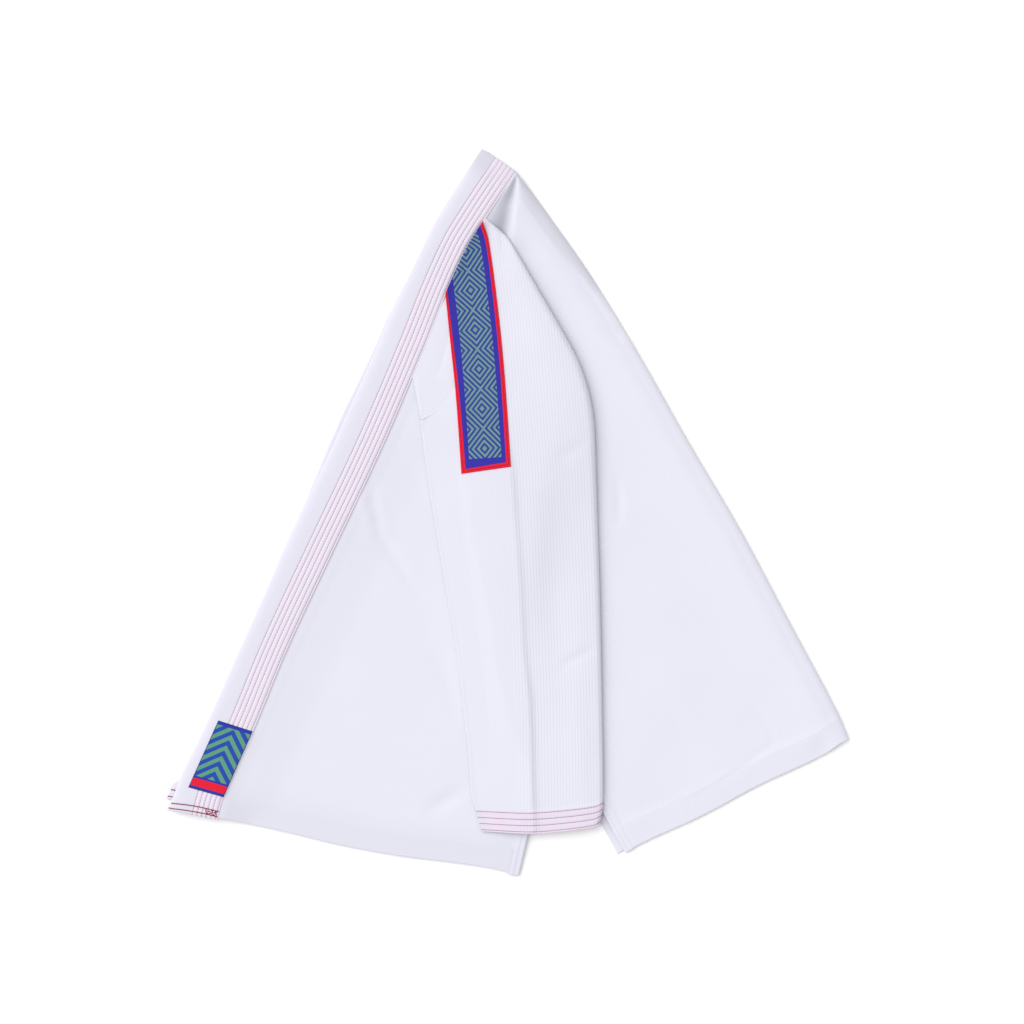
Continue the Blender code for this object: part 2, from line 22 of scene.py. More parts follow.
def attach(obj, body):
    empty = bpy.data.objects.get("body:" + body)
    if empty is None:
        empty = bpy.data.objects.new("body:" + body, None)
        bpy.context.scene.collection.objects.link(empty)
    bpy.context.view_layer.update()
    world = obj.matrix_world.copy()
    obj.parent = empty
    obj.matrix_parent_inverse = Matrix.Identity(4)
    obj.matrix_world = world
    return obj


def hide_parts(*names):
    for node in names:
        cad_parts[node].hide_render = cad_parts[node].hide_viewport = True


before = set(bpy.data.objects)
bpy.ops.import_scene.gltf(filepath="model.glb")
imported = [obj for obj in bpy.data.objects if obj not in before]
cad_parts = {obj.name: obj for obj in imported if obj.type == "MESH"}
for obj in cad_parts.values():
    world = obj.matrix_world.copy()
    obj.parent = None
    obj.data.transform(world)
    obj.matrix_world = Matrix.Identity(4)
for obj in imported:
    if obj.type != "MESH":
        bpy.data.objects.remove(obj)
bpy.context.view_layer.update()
LOG = logging.getLogger("jacket")

MM = 0.001
BODY = "root"

# Layers of the folded stack
WALL = 2.0             # one layer of the jacket's woven cotton
LAYER_GAP = 0.35
BODY_LOFT = 3.2        # far layers under the near front and back
HEM_LAYER = 2.2
HEM_FILL = 2.6
HEM_TURN = 0.7         # a turned hem is this much thicker
HEM_WIDTH = 27.0
HEM_INSET = 2.2        # the far hems lie this far inside the near ones
EDGE_LIFT = 4.0        # the far layers stand higher beside the lapel and the fold
COLLAR_SPREAD = 62.0
FOLD_SPREAD = 85.0
SLEEVE_LIFT = 5.0      # cloth bunched under the sleeve
NECK_DIP = 6.4         # deepest part of the hollow beside the neck seam
NECK_CREASE = (-101.6, 0.2885)  # its foot, as x at y = 0 and x for each step of y
NECK_TOP = 388.0       # y where the hollow begins
PATCH_TUCK = 1.6       # the layers under the patch are this much lower beside the lapel
NECK_SWELL = 1.2       # height of the cloth beyond the hollow
FOLD_RADIUS = 11.0     # centre-back fold
TURN_UNDER = 8.0
LAPEL_GAP = -0.8       # the cloth sewn to the lapel runs a little way into its inner edge
LAYER_SLACK = 0.3      # the cloth is this much thinner than its layer
SEAM_GAP = 0.3         # between the cloth's edge and a seam
HEM_ROUND = 1.3        # a turned hem is rounded over this distance
VENT_WIDTH = 12.0      # of the cloth turned in beside a vent
VENT_ROWS = (5.2, 11.6)  # two rows of stitching there, from the edge
FAR_TURN = 3.0         # radians: a lapel section turned over further is on the far half

# Distances from an edge at which a grid has its lines
FAR_STEPS = (0.0, 0.3, 0.8, 1.6, 4.0)
HEM_STEPS = (
    0.0, 0.2, 0.5, 1.0, 1.8, 4.0, 8.0, 14.0, 20.0, 24.0, 25.4, 26.2, 27.0, 27.8, 28.6, 30.0, 33.0,
)
VENT_STEPS = (
    0.0, 0.2, 0.5, 1.0, 1.8, 3.2, 4.4, 5.0, 5.6, 6.4, 8.0, 10.0, 11.0, 11.6, 12.4, 14.0,
)
CUFF_STEPS = (
    0.0, 0.5, 1.2, 2.0, 2.8, 3.6, 4.6, 6.5, 8.4, 9.3, 10.1, 10.9, 12.0, 14.5, 16.0, 16.6, 17.3,
    18.0, 19.0, 21.5, 23.2, 23.9, 24.6, 25.3, 26.2, 27.5, 29.0, 31.0,
)
PATCH_STEPS = (0.0, 0.25, 0.6, 1.1, 1.7, 2.2, 2.6, 3.0, 3.5, 4.1, 4.6, 5.1, 5.6, 6.4)

# Outlines, as (x, y), from the neck down
COLLAR_INNER = (
    (7.7, 385.8), (-9.5, 360.0), (-27.6, 332.4), (-46.6, 301.3), (-70.2, 249.6), (-95.5, 186.3),
    (-144.9, 71.3), (-204.7, -55.2), (-253.0, -158.7), (-291.4, -251.3), (-325.5, -327.3),
    (-333.0, -353.5),
)
SIDE_SEAM = (
    (-21.4, 340.7), (-8.0, 270.0), (-1.0, 200.0), (13.8, 71.3), (36.8, -124.0), (51.8, -245.0),
)
FRONT_VENT = ((51.8, -245.0), (38.0, -306.0), (23.7, -369.2), (12.7, -418.0))
BACK_VENT = ((51.8, -245.0), (80.0, -294.0), (110.0, -347.0), (135.5, -392.5))
FAR_FRONT_VENT = ((51.8, -245.0), (36.8, -306.0), (22.3, -369.2), (11.0, -415.6))
FAR_BACK_VENT = ((51.8, -245.0), (74.0, -297.0), (100.5, -346.0), (125.8, -393.5))
CENTRE_BACK = (
    (10.0, 390.2), (20.7, 376.1), (46.0, 341.6), (94.3, 272.6), (147.2, 186.3), (205.9, 82.8),
    (266.8, -20.7), (322.0, -124.2), (377.2, -227.7), (392.0, -261.5),
)
FRONT_HEM = (
    (-333.0, -353.5), (-254.2, -368.0), (-192.1, -383.0), (-121.9, -395.6), (-48.3, -404.8),
    (-5.1, -412.6), (3.5, -417.6), (12.7, -418.0),
)
BACK_HEM = (
    (135.5, -392.5), (151.8, -381.8), (224.3, -348.5), (288.7, -314.0), (362.3, -279.5),
    (392.0, -261.5),
)
SHOULDER_FOLD = ((-108.6, 150.0), (-104.0, 127.0), (-100.8, 107.0))
ARMHOLE = (
    (-54.0, 283.5), (-49.5, 244.0), (-48.3, 198.0), (-54.0, 160.0), (-62.0, 136.0), (-69.0, 125.4),
    (-81.7, 113.9), (-100.0, 104.7),
)
SLEEVE_LEFT = (
    (-100.0, 104.7), (-87.4, 13.8), (-71.3, -85.1), (-63.3, -131.1), (-55.2, -186.3),
    (-49.5, -239.2), (-44.9, -280.6), (-42.0, -324.3), (-36.5, -343.0), (-29.9, -366.9),
)
SLEEVE_RIGHT = (
    (-25.3, 337.0), (-2.3, 317.4), (8.0, 302.5), (38.0, 250.7), (75.9, 184.0), (87.4, 156.4),
    (95.5, 126.5), (99.5, 95.0), (101.2, 47.2), (105.8, -101.2), (108.1, -216.2), (109.3, -334.7),
    (105.8, -357.5),
)
SLEEVE_RIDGE = (
    (-10.0, 150.0), (3.5, 51.8), (6.9, 2.3), (10.4, -41.4), (13.2, -81.7), (17.3, -158.7),
    (24.2, -216.2), (26.5, -273.7), (27.6, -345.0), (27.6, -375.0),
)
CUFF = ((-29.9, -366.9), (25.3, -369.2), (59.8, -366.9), (97.0, -361.8), (105.8, -357.5))
RIB_LINE = (           # one rib of the sleeve's weave
    (-26.0, 340.0), (-10.4, 224.0), (3.5, 51.8), (9.5, -81.7), (14.0, -216.0), (16.0, -375.0),
)
PATCH_LEFT = ((-71.9, 250.6), (-66.7, 199.0), (-60.3, 138.0), (-53.5, 43.7))
PATCH_RIGHT = ((-29.0, 334.0), (-21.9, 310.5), (-10.4, 224.3), (-3.5, 153.0), (3.5, 51.8))
LABEL_CORNERS = ((-332.4, -239.2), (-293.1, -251.8), (-326.5, -327.3), (-366.9, -315.9))

# Heights where the pieces sewn to the lapel begin and end
NECK_FOOT = 328.0
LAPEL_FOOT = -351.5
FRONT_TOP = 164.0
SHOULDER_FROM, SHOULDER_TO = 283.3, 151.8
SLEEVE_FROM, SLEEVE_TO = 284.0, 336.7
PATCH_FROM, PATCH_TO = 249.9, 332.9
VENT_FROM = 0.777      # share of a panel's side edge where its vent begins

# Lapel: share of its length from the neck, width, and how far the far half shows past the near one
LAPEL_FORM = (
    (0.00, 48.8, 0.0), (0.08, 48.5, 0.0), (0.15, 47.5, 0.0), (0.28, 52.0, 2.4), (0.42, 53.5, 5.0),
    (0.58, 53.0, 1.0), (0.72, 50.6, 0.0), (0.90, 53.5, 0.0), (0.966, 55.2, 0.0),
    (0.974, 55.6, 6.8), (1.00, 60.0, 6.5),
)

# Sleeve: share of its length, and the tops of its left edge, its ridge and its right edge
SLEEVE_FORM = (
    (0.00, 10.4, 11.0, 11.4), (0.12, 11.0, 14.2, 17.2), (0.25, 11.2, 16.8, 19.0),
    (0.36, 11.4, 18.0, 18.6), (0.45, 11.4, 18.8, 17.8), (0.72, 11.4, 18.6, 16.6),
    (1.00, 11.4, 17.2, 16.0),
)


def ease(share: np.ndarray | float) -> np.ndarray:
    """Smooth step from 0 to 1."""
    share = np.clip(share, 0.0, 1.0)
    return share * share * (3.0 - 2.0 * share)


def look_up(table: Sequence[Sequence[float]], at: np.ndarray | float) -> list[np.ndarray]:
    """Columns of a table whose first column rises, eased between its rows.

    Args:
        table: Rows of numbers, the first of which is the key.
        at: Keys to read the table at.

    Returns:
        One array for each column after the first.
    """
    rows = np.asarray(table)
    at = np.clip(np.asarray(at, float), rows[0, 0], rows[-1, 0])
    lower = np.clip(np.searchsorted(rows[:, 0], at, side="right") - 1, 0, len(rows) - 2)
    share = ease((at - rows[lower, 0]) / (rows[lower + 1, 0] - rows[lower, 0]))
    return [rows[lower, k] + (rows[lower + 1, k] - rows[lower, k]) * share
            for k in range(1, rows.shape[1])]


class Curve:
    """Smooth plan curve through a short table of points, read by its share of length."""

    def __init__(self, points: Sequence[Sequence[float]]) -> None:
        """Take the points in order.

        Args:
            points: Points that the curve goes through, in order.
        """
        self.points = np.asarray(points, float)
        steps = np.linalg.norm(np.diff(self.points, axis=0), axis=1)
        self.ends = np.concatenate(([0.0], np.cumsum(steps)))
        index = np.arange(len(self.points))
        low, high = np.maximum(index - 1, 0), np.minimum(index + 1, len(index) - 1)
        spans = (self.ends[high] - self.ends[low])[:, None]
        self.slopes = (self.points[high] - self.points[low]) / spans

    @property
    def length(self) -> float:
        """Length along the straight runs between the points."""
        return float(self.ends[-1])

    def at(self, share: np.ndarray | float) -> np.ndarray:
        """Points at shares of the length, on a Catmull-Rom curve.

        Args:
            share: Shares of the length, from 0 to 1.

        Returns:
            Plan points.
        """
        length = np.clip(np.asarray(share, float), 0.0, 1.0) * self.ends[-1]
        step = np.clip(np.searchsorted(self.ends, length, side="right") - 1, 0, len(self.points) - 2)
        span = self.ends[step + 1] - self.ends[step]
        part = ((length - self.ends[step]) / span)[..., None]
        square, cube = part**2, part**3
        start, end = self.slopes[step] * span[..., None], self.slopes[step + 1] * span[..., None]
        return (self.points[step] * (2 * cube - 3 * square + 1) + start * (cube - 2 * square + part)
                + self.points[step + 1] * (3 * square - 2 * cube) + end * (cube - square))

    def side(self, share: np.ndarray | float) -> np.ndarray:
        """Unit vectors to the left hand of someone who walks down the curve.

        Args:
            share: Shares of the length, from 0 to 1.

        Returns:
            Unit vectors.
        """
        share = np.asarray(share, float)
        along = self.at(np.minimum(share + 0.004, 1.0)) - self.at(np.maximum(share - 0.004, 0.0))
        along /= np.linalg.norm(along, axis=-1, keepdims=True)
        return np.stack((-along[..., 1], along[..., 0]), axis=-1)

    def distance(self, plan: np.ndarray) -> np.ndarray:
        """Shortest distances from plan points to the runs between the curve's points.

        Args:
            plan: Points, with x and y in the last axis.

        Returns:
            Distances.
        """
        best = np.full(plan.shape[:-1], 1e9)
        for first, second in zip(self.points, self.points[1:]):
            run = second - first
            share = np.clip(((plan - first) @ run) / (run @ run), 0.0, 1.0)
            best = np.minimum(best, np.linalg.norm(plan - first - share[..., None] * run, axis=-1))
        return best

    def locate(self, plan: np.ndarray, steps: int = 500) -> tuple[np.ndarray, np.ndarray]:
        """Where plan points lie beside the curve.

        Args:
            plan: Points, with x and y in the last axis.
            steps: How finely the curve is sampled.

        Returns:
            Distance along the curve, and distance to the left hand of someone who walks down it.
        """
        shares = np.linspace(0.0, 1.0, steps)
        path, sides = self.at(shares), self.side(shares)
        flat = plan.reshape(-1, 2)
        nearest = np.concatenate([
            np.argmin(((part[:, None, :] - path[None]) ** 2).sum(-1), axis=1)
            for part in np.array_split(flat, max(1, len(flat) // 2000))])
        away = ((flat - path[nearest]) * sides[nearest]).sum(-1)
        ahead = np.stack((sides[nearest][:, 1], -sides[nearest][:, 0]), axis=-1)
        along = shares[nearest] * self.length + ((flat - path[nearest]) * ahead).sum(-1)
        return along.reshape(plan.shape[:-1]), away.reshape(plan.shape[:-1])

    def x_at(self, y: np.ndarray) -> np.ndarray:
        """X where a curve that runs down crosses heights."""
        return np.interp(-y, -self.points[:, 1], self.points[:, 0])

    def share_at(self, y: float) -> float:
        """Share of its length where a curve that runs down crosses a height.

        Args:
            y: The height.

        Returns:
            Share of the length.
        """
        low, high = 0.0, 1.0
        for _ in range(30):
            middle = (low + high) / 2.0
            low, high = (middle, high) if self.at(middle)[1] > y else (low, middle)
        return low


class Chain:
    """Two curves end to end, the first taking a given share."""

    def __init__(self, first: "Curve | Beside", second: "Curve | Chain", share: float) -> None:
        """Join the curves."""
        self.first, self.second, self.share = first, second, share

    def at(self, share: np.ndarray | float) -> np.ndarray:
        """Points at shares of the chain.

        Args:
            share: Shares of the whole chain, from 0 to 1.

        Returns:
            Plan points.
        """
        share = np.asarray(share, float)
        early = self.first.at(np.clip(share / self.share, 0.0, 1.0))
        late = self.second.at(np.clip((share - self.share) / (1.0 - self.share), 0.0, 1.0))
        return np.where((share <= self.share)[..., None], early, late)


class Beside:
    """A curve moved sideways, and cut to a stretch."""

    def __init__(self, curve: Curve, distance: float, start: float = 0.0, end: float = 1.0) -> None:
        """Take the curve, the distance to its left hand and the stretch, as shares."""
        self.curve, self.distance, self.start, self.end = curve, distance, start, end

    def at(self, share: np.ndarray | float) -> np.ndarray:
        """Points at shares of the stretch."""
        share = self.start + (self.end - self.start) * np.asarray(share, float)
        return self.curve.at(share) + self.curve.side(share) * self.distance


LAPEL = Curve(COLLAR_INNER)
FOLD = Curve(CENTRE_BACK)
RIDGE = Curve(SLEEVE_RIDGE)
RIB = Curve(RIB_LINE)
LEFT_OF_SLEEVE = Curve(((-60.0, 300.0), (-100.0, 104.7)) + SLEEVE_LEFT[1:])
RIGHT_OF_SLEEVE = Curve(SLEEVE_RIGHT)


def beside_lapel(first: float, last: float) -> Beside:
    """Edge of a piece sewn to the lapel, between two heights."""
    return Beside(LAPEL, LAPEL_GAP, LAPEL.share_at(first), LAPEL.share_at(last))


def hem_between(table: Sequence[Sequence[float]], left: Curve | Chain | Beside,
                right: Curve | Chain | Beside, inset: float = 0.0) -> Curve:
    """Hem curve whose two ends are those of a panel's sides.

    Args:
        table: The hem's points.
        left: The panel's left side.
        right: Its right side.
        inset: How far the hem is drawn in.

    Returns:
        The hem.
    """
    inner = [(x, y + inset) for x, y in table[1:-1]]
    return Curve([left.at(1.0), *inner, right.at(1.0)])


def straight(first: np.ndarray, second: np.ndarray) -> Curve:
    """Straight plan line."""
    return Curve([first, second])


@dataclass(frozen=True)
class Crease:
    """Soft trough, or a ridge where its depth is below 0, along a plan path."""

    path: tuple[tuple[float, float], ...]
    depth: float
    width: float

    def relief(self, plan: np.ndarray) -> np.ndarray:
        """Change of height at plan points, fading out at the path's ends.

        Args:
            plan: Points, with x and y in the last axis.

        Returns:
            Change of height at each point.
        """
        curve = Curve(self.path)
        best = np.full(plan.shape[:-1], 1e9)
        place = np.zeros(plan.shape[:-1])
        for step, (first, second) in enumerate(zip(curve.points, curve.points[1:])):
            run = second - first
            share = np.clip(((plan - first) @ run) / (run @ run), 0.0, 1.0)
            away = np.linalg.norm(plan - first - share[..., None] * run, axis=-1)
            at = (curve.ends[step] + share * (curve.ends[step + 1] - curve.ends[step])) / curve.length
            place = np.where(away < best, at, place)
            best = np.minimum(best, away)
        fade = np.sin(np.pi * np.clip(place, 0.0, 1.0)) ** 0.8
        return -self.depth * fade * np.exp(-((best / self.width) ** 2))


def ripple(plan: np.ndarray, seed: int, height: float, wavelength: float) -> np.ndarray:
    """Slight unevenness of cloth that lies loose.

    Args:
        plan: Points, with x and y in the last axis.
        seed: Seed of the waves' directions and phases.
        height: About the highest rise.
        wavelength: Mean distance between rises.

    Returns:
        Change of height at each point.
    """
    waves = np.random.default_rng(seed)
    total = np.zeros(plan.shape[:-1])
    for _ in range(7):
        angle, phase = waves.uniform(0.0, 2.0 * np.pi, 2)
        number = 2.0 * np.pi / (wavelength * waves.uniform(0.7, 1.6))
        total += np.sin(number * (plan[..., 0] * np.cos(angle) + plan[..., 1] * np.sin(angle)) + phase)
    return height * total / 4.0


def groove(distance: np.ndarray, at: float, depth: float, width: float = 0.9) -> np.ndarray:
    """Line that stitching draws down into the cloth, at a distance from an edge."""
    return -depth * np.exp(-(((distance - at) / width) ** 2))


def bed_height(plan: np.ndarray) -> np.ndarray:
    """Top of the far layers.

    They are raised beside lapel and fold and bunched up under the sleeve, and lower at the
    fold itself, in the neck hollow and where the patch runs in under the lapel.

    Args:
        plan: Points, with x and y in the last axis.

    Returns:
        Heights above the floor.
    """
    x, y = plan[..., 0], plan[..., 1]
    near_lapel = 1.0 - ease(LAPEL.distance(plan) / COLLAR_SPREAD)
    near_fold = 1.0 - ease(FOLD.distance(plan) / FOLD_SPREAD)
    lift = 1.0 - (1.0 - near_lapel) * (1.0 - near_fold)
    left, right = LEFT_OF_SLEEVE.x_at(y), RIGHT_OF_SLEEVE.x_at(y)
    across = (x - left) / (right - left)
    bunch = ease(np.minimum(across, 1.0 - across) * 2.2)
    beside = ease((x - left + 34.0) / 44.0) * ease(1.0 - across)
    bunch = np.maximum(bunch, 0.34 * beside)
    bunch = bunch * ease((330.0 - y) / 200.0) * ease((y + 330.0) / 150.0)
    upper = ease((y - 180.0) / 80.0)
    bend = 1.0 - np.clip((FOLD.distance(plan) - FOLD_RADIUS) / (14.0 + 7.0 * upper), 0.0, 1.0)
    fall = (1.7 + 1.6 * upper) * bend**2 * ease((NECK_TOP - y) / 50.0)
    return (BODY_LOFT + EDGE_LIFT * lift + SLEEVE_LIFT * bunch - fall - neck_hollow(plan)[0]
            - PATCH_TUCK * under_lapel(plan))


def under_lapel(plan: np.ndarray) -> np.ndarray:
    """Where the patch and the cloth below it run in under the lapel, from 0 to 1.

    Args:
        plan: Points, with x and y in the last axis.

    Returns:
        Shares.
    """
    y = plan[..., 1]
    beside = np.exp(-((LAPEL.distance(plan) / 9.0) ** 2))
    return beside * ease((y - 225.0) / 25.0) * ease((336.0 - y) / 10.0)


def neck_hollow(plan: np.ndarray) -> tuple[np.ndarray, np.ndarray, np.ndarray]:
    """Hollow beside the neck seam, which widens downwards and runs on under the sleeve.

    Args:
        plan: Points, with x and y in the last axis.

    Returns:
        How far the far layers come down there, how far the near cloth swells round it, and the
        share of painted shade in the hollow, from 0 to 1.
    """
    x, y = plan[..., 0], plan[..., 1]
    foot = NECK_CREASE[0] + NECK_CREASE[1] * y
    to_lapel = np.maximum(foot - LAPEL.x_at(y), 1.0)
    to_back = 2.0 + 0.24 * np.clip(NECK_TOP - y, 0.0, 80.0)
    deep = np.minimum(NECK_DIP, 0.6 * np.maximum(foot - LAPEL.x_at(y), 0.0))
    side = ease(np.where(x < foot, (foot - x) / to_lapel, (x - foot) / to_back))
    reach = ease((y - 296.0) / 22.0)
    beyond = 1.0 - ease((x - foot - to_back) / 34.0)
    swell = np.where(x < foot, 1.0, NECK_SWELL) * side * beyond * reach * ease(deep / 3.0)
    # Painted shade, darkest at the hollow's foot and towards its lower end.
    shade = (1.0 - side) ** 1.5 * ease((y - 312.0) / 8.0) * ease(deep / 2.0)
    shade = shade * (0.60 + 0.40 * ease((356.0 - y) / 25.0))
    return deep * (1.0 - side) * reach, swell, shade


def edge_drop(plan: np.ndarray, hem: Curve) -> np.ndarray:
    """How far a panel comes down to its hem."""
    near = 1.0 - ease(hem.distance(plan) / 30.0)
    return near * (bed_height(plan) - HEM_LAYER) * ease((LAPEL.distance(plan) - 4.0) / 40.0)


def fold_radius(width: np.ndarray) -> np.ndarray:
    """How far the rounding at the centre-back fold reaches, where the back is this wide."""
    return np.clip(width * 0.34, 2.6, FOLD_RADIUS)


def quarter_fall(share: np.ndarray) -> np.ndarray:
    """How far a quarter circle has come down, from 0 at 0 to 1 at 1."""
    return 1.0 - np.sqrt(np.clip(1.0 - share**2, 0.0, 1.0))


def hem_turn(distance: np.ndarray) -> np.ndarray:
    """Extra thickness of the turned hem, at distances from its edge."""
    return HEM_TURN * (1.0 - ease((distance - HEM_WIDTH) / 3.0))


def turned_cloth(from_hem: np.ndarray, from_vent: np.ndarray, vent: np.ndarray) -> np.ndarray:
    """Extra thickness where the cloth is turned in at its hem and beside its vent.

    Args:
        from_hem: Distances from the hem.
        from_vent: Distances from the side where the vent is.
        vent: How far each point is down beside the vent, from 0 to 1.

    Returns:
        Thickness on top of one layer.
    """
    beside = vent * HEM_TURN * (1.0 - ease((from_vent - VENT_WIDTH) / 2.0))
    return np.maximum(hem_turn(from_hem), beside)


def spread(width: np.ndarray | float, near: Sequence[float], far: Sequence[float],
           count: int) -> np.ndarray:
    """Shares across a piece, with fixed distances beside its two edges.

    Args:
        width: Width of each row, or one width.
        near: Distances from the first edge, which begin at 0.
        far: Distances from the last edge, which begin at 0.
        count: Steps between those.

    Returns:
        Shares from 0 to 1, in the last axis.
    """
    width = np.asarray(width, float)[..., None]
    near, far = np.asarray(near), np.asarray(far)
    tight = np.minimum(1.0, 0.8 * width / (near[-1] + far[-1] + 1e-6))
    start, end = near * tight, width - far[::-1] * tight
    inner = start[..., -1:] + (end[..., :1] - start[..., -1:]) * np.linspace(0.0, 1.0, count + 1)[1:-1]
    return np.concatenate((start, inner, end), axis=-1) / width


class Patchwork:
    """Plan grid of a panel whose four edges are given curves."""

    def __init__(self, left: Curve | Chain | Beside, right: Curve | Chain | Beside,
                 top: Curve | Beside, foot: Curve | Beside) -> None:
        """Take the four edges: the sides from the top down, the ends from left to right."""
        self.left, self.right, self.top, self.foot = left, right, top, foot

    def widths(self, along: np.ndarray) -> np.ndarray:
        """Straight distance from side to side at shares down the panel."""
        return np.linalg.norm(self.right.at(along) - self.left.at(along), axis=-1)

    def at(self, across: np.ndarray, along: np.ndarray) -> np.ndarray:
        """Plan points at shares across and along.

        Args:
            across: Shares from the left side to the right one.
            along: Shares from the top down.

        Returns:
            Plan points.
        """
        u, v = across[..., None], along[..., None]
        sides = self.left.at(along) * (1 - u) + self.right.at(along) * u
        ends = self.top.at(across) * (1 - v) + self.foot.at(across) * v
        upper = self.left.at(0.0) * (1 - u) + self.right.at(0.0) * u
        lower = self.left.at(1.0) * (1 - u) + self.right.at(1.0) * u
        return sides + ends - upper * (1 - v) - lower * v

    def grid(self, along: np.ndarray, near: Sequence[float], far: Sequence[float],
             count: int) -> tuple[np.ndarray, np.ndarray, np.ndarray]:
        """Plan points with their shares across and down, finer beside the two sides.

        Args:
            along: Shares down the panel, one for each row.
            near: Distances of the first columns from the left side.
            far: Distances of the last columns from the right side.
            count: Steps between those.

        Returns:
            Plan points, shares across and shares down, each as (row, column).
        """
        across = spread(self.widths(along), near, far, count)
        down = np.broadcast_to(along[:, None], across.shape)
        return self.at(across, down), across, down


def rounding(distance: np.ndarray, reach: float) -> np.ndarray:
    """Share of full thickness near a rounded edge."""
    share = np.clip(distance / reach, 0.0, 1.0)
    return 0.12 + 0.88 * np.sqrt(np.clip(1.0 - (1.0 - share) ** 2, 0.0, 1.0))


def with_height(plan: np.ndarray, height: np.ndarray) -> np.ndarray:
    """Plan points given a height."""
    return np.concatenate((plan, height[..., None]), axis=-1)


def quads(rows: int, columns: int, start: int = 0) -> np.ndarray:
    """Faces of a grid of points.

    Args:
        rows: Rows of points.
        columns: Points in a row.
        start: Index of the first point.

    Returns:
        Four-cornered faces.
    """
    index = np.arange(rows * columns).reshape(rows, columns) + start
    corners = (index[:-1, :-1], index[:-1, 1:], index[1:, 1:], index[1:, :-1])
    return np.stack(corners, axis=-1).reshape(-1, 4)


def shell(upper: np.ndarray, lower: np.ndarray) -> tuple[np.ndarray, np.ndarray]:
    """Closed cloth between two grids of the same size.

    Args:
        upper: Points of the upper face, as (row, column, xyz).
        lower: Points of the lower face.

    Returns:
        Points and four-cornered faces.
    """
    rows, columns = upper.shape[:2]
    count = rows * columns
    index = np.arange(count).reshape(rows, columns)
    loop = np.concatenate((index[0, :-1], index[:-1, -1], index[-1, :0:-1], index[:0:-1, 0]))
    rim = np.stack((loop, np.roll(loop, -1), np.roll(loop, -1) + count, loop + count), axis=-1)
    faces = np.concatenate((quads(rows, columns), quads(rows, columns, count)[:, ::-1], rim[:, ::-1]))
    return np.concatenate((upper.reshape(-1, 3), lower.reshape(-1, 3))), faces


def rings(loops: np.ndarray, start: int = 0) -> np.ndarray:
    """Faces between closed rings of points.

    Args:
        loops: Points, as (ring, point, xyz).
        start: Index of the first point.

    Returns:
        Four-cornered faces.
    """
    count, around = loops.shape[:2]
    index = np.arange(count * around).reshape(count, around) + start
    index = np.concatenate((index, index[:, :1]), axis=1)
    corners = (index[:-1, :-1], index[:-1, 1:], index[1:, 1:], index[1:, :-1])
    return np.stack(corners, axis=-1).reshape(-1, 4)


class Slot(Enum):
    """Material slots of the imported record."""

    COTTON = "white_cotton"
    LAPEL = "lapel_cotton"
    PATCH = "patch_weave"
    LABEL = "label_weave"


def add_values(mesh: bpy.types.Mesh, name: str, values: np.ndarray) -> None:
    """Keep a number for each point of a mesh, for its finish to read."""
    kept = mesh.attributes.new(name, "FLOAT", "POINT")
    kept.data.foreach_set("value", values.astype(np.float32).ravel())


def add_piece(name: str, points: np.ndarray, faces: Sequence[Sequence[int]], marks: np.ndarray,
              finish: bpy.types.Material, nodes: Sequence[str],
              from_edge: np.ndarray | None = None,
              hollow: np.ndarray | None = None) -> bpy.types.Object:
    """Make a finished piece that rides on the jacket.

    Args:
        name: The piece's name.
        points: Its points, in millimetres.
        faces: Its faces.
        marks: A place on the flat cloth for each point, in millimetres, which its UV map keeps.
        finish: Its material.
        nodes: Solids that it replaces.
        from_edge: Distance of each point from an edge that its finish follows.
        hollow: How far the colour is painted darker at each point, from 0 to 1: painted shade in folds
            and hollows.

    Returns:
        The object.
    """
    mesh = bpy.data.meshes.new(name)
    mesh.from_pydata((points * MM).tolist(), [], [list(map(int, face)) for face in faces])
    work = bmesh.new()
    work.from_mesh(mesh)
    bmesh.ops.recalc_face_normals(work, faces=work.faces[:])
    work.to_mesh(mesh)
    work.free()
    corners = np.empty(len(mesh.loops), dtype=np.int64)
    mesh.loops.foreach_get("vertex_index", corners)
    layer = mesh.uv_layers.new(name="cloth")
    layer.data.foreach_set("uv", (marks[corners] * MM).astype(np.float32).ravel())
    if from_edge is not None:
        add_values(mesh, "from_edge", from_edge * MM)
    # painted shade, for the finish to mix into the colour
    if hollow is not None:
        add_values(mesh, "hollow", hollow)
    mesh.polygons.foreach_set("use_smooth", [True] * len(mesh.polygons))
    mesh.materials.append(finish)
    piece = bpy.data.objects.new(name, mesh)
    bpy.context.scene.collection.objects.link(piece)
    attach(piece, BODY)
    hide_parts(*nodes)
    LOG.info("%s: %d faces", name, len(mesh.polygons))
    return piece


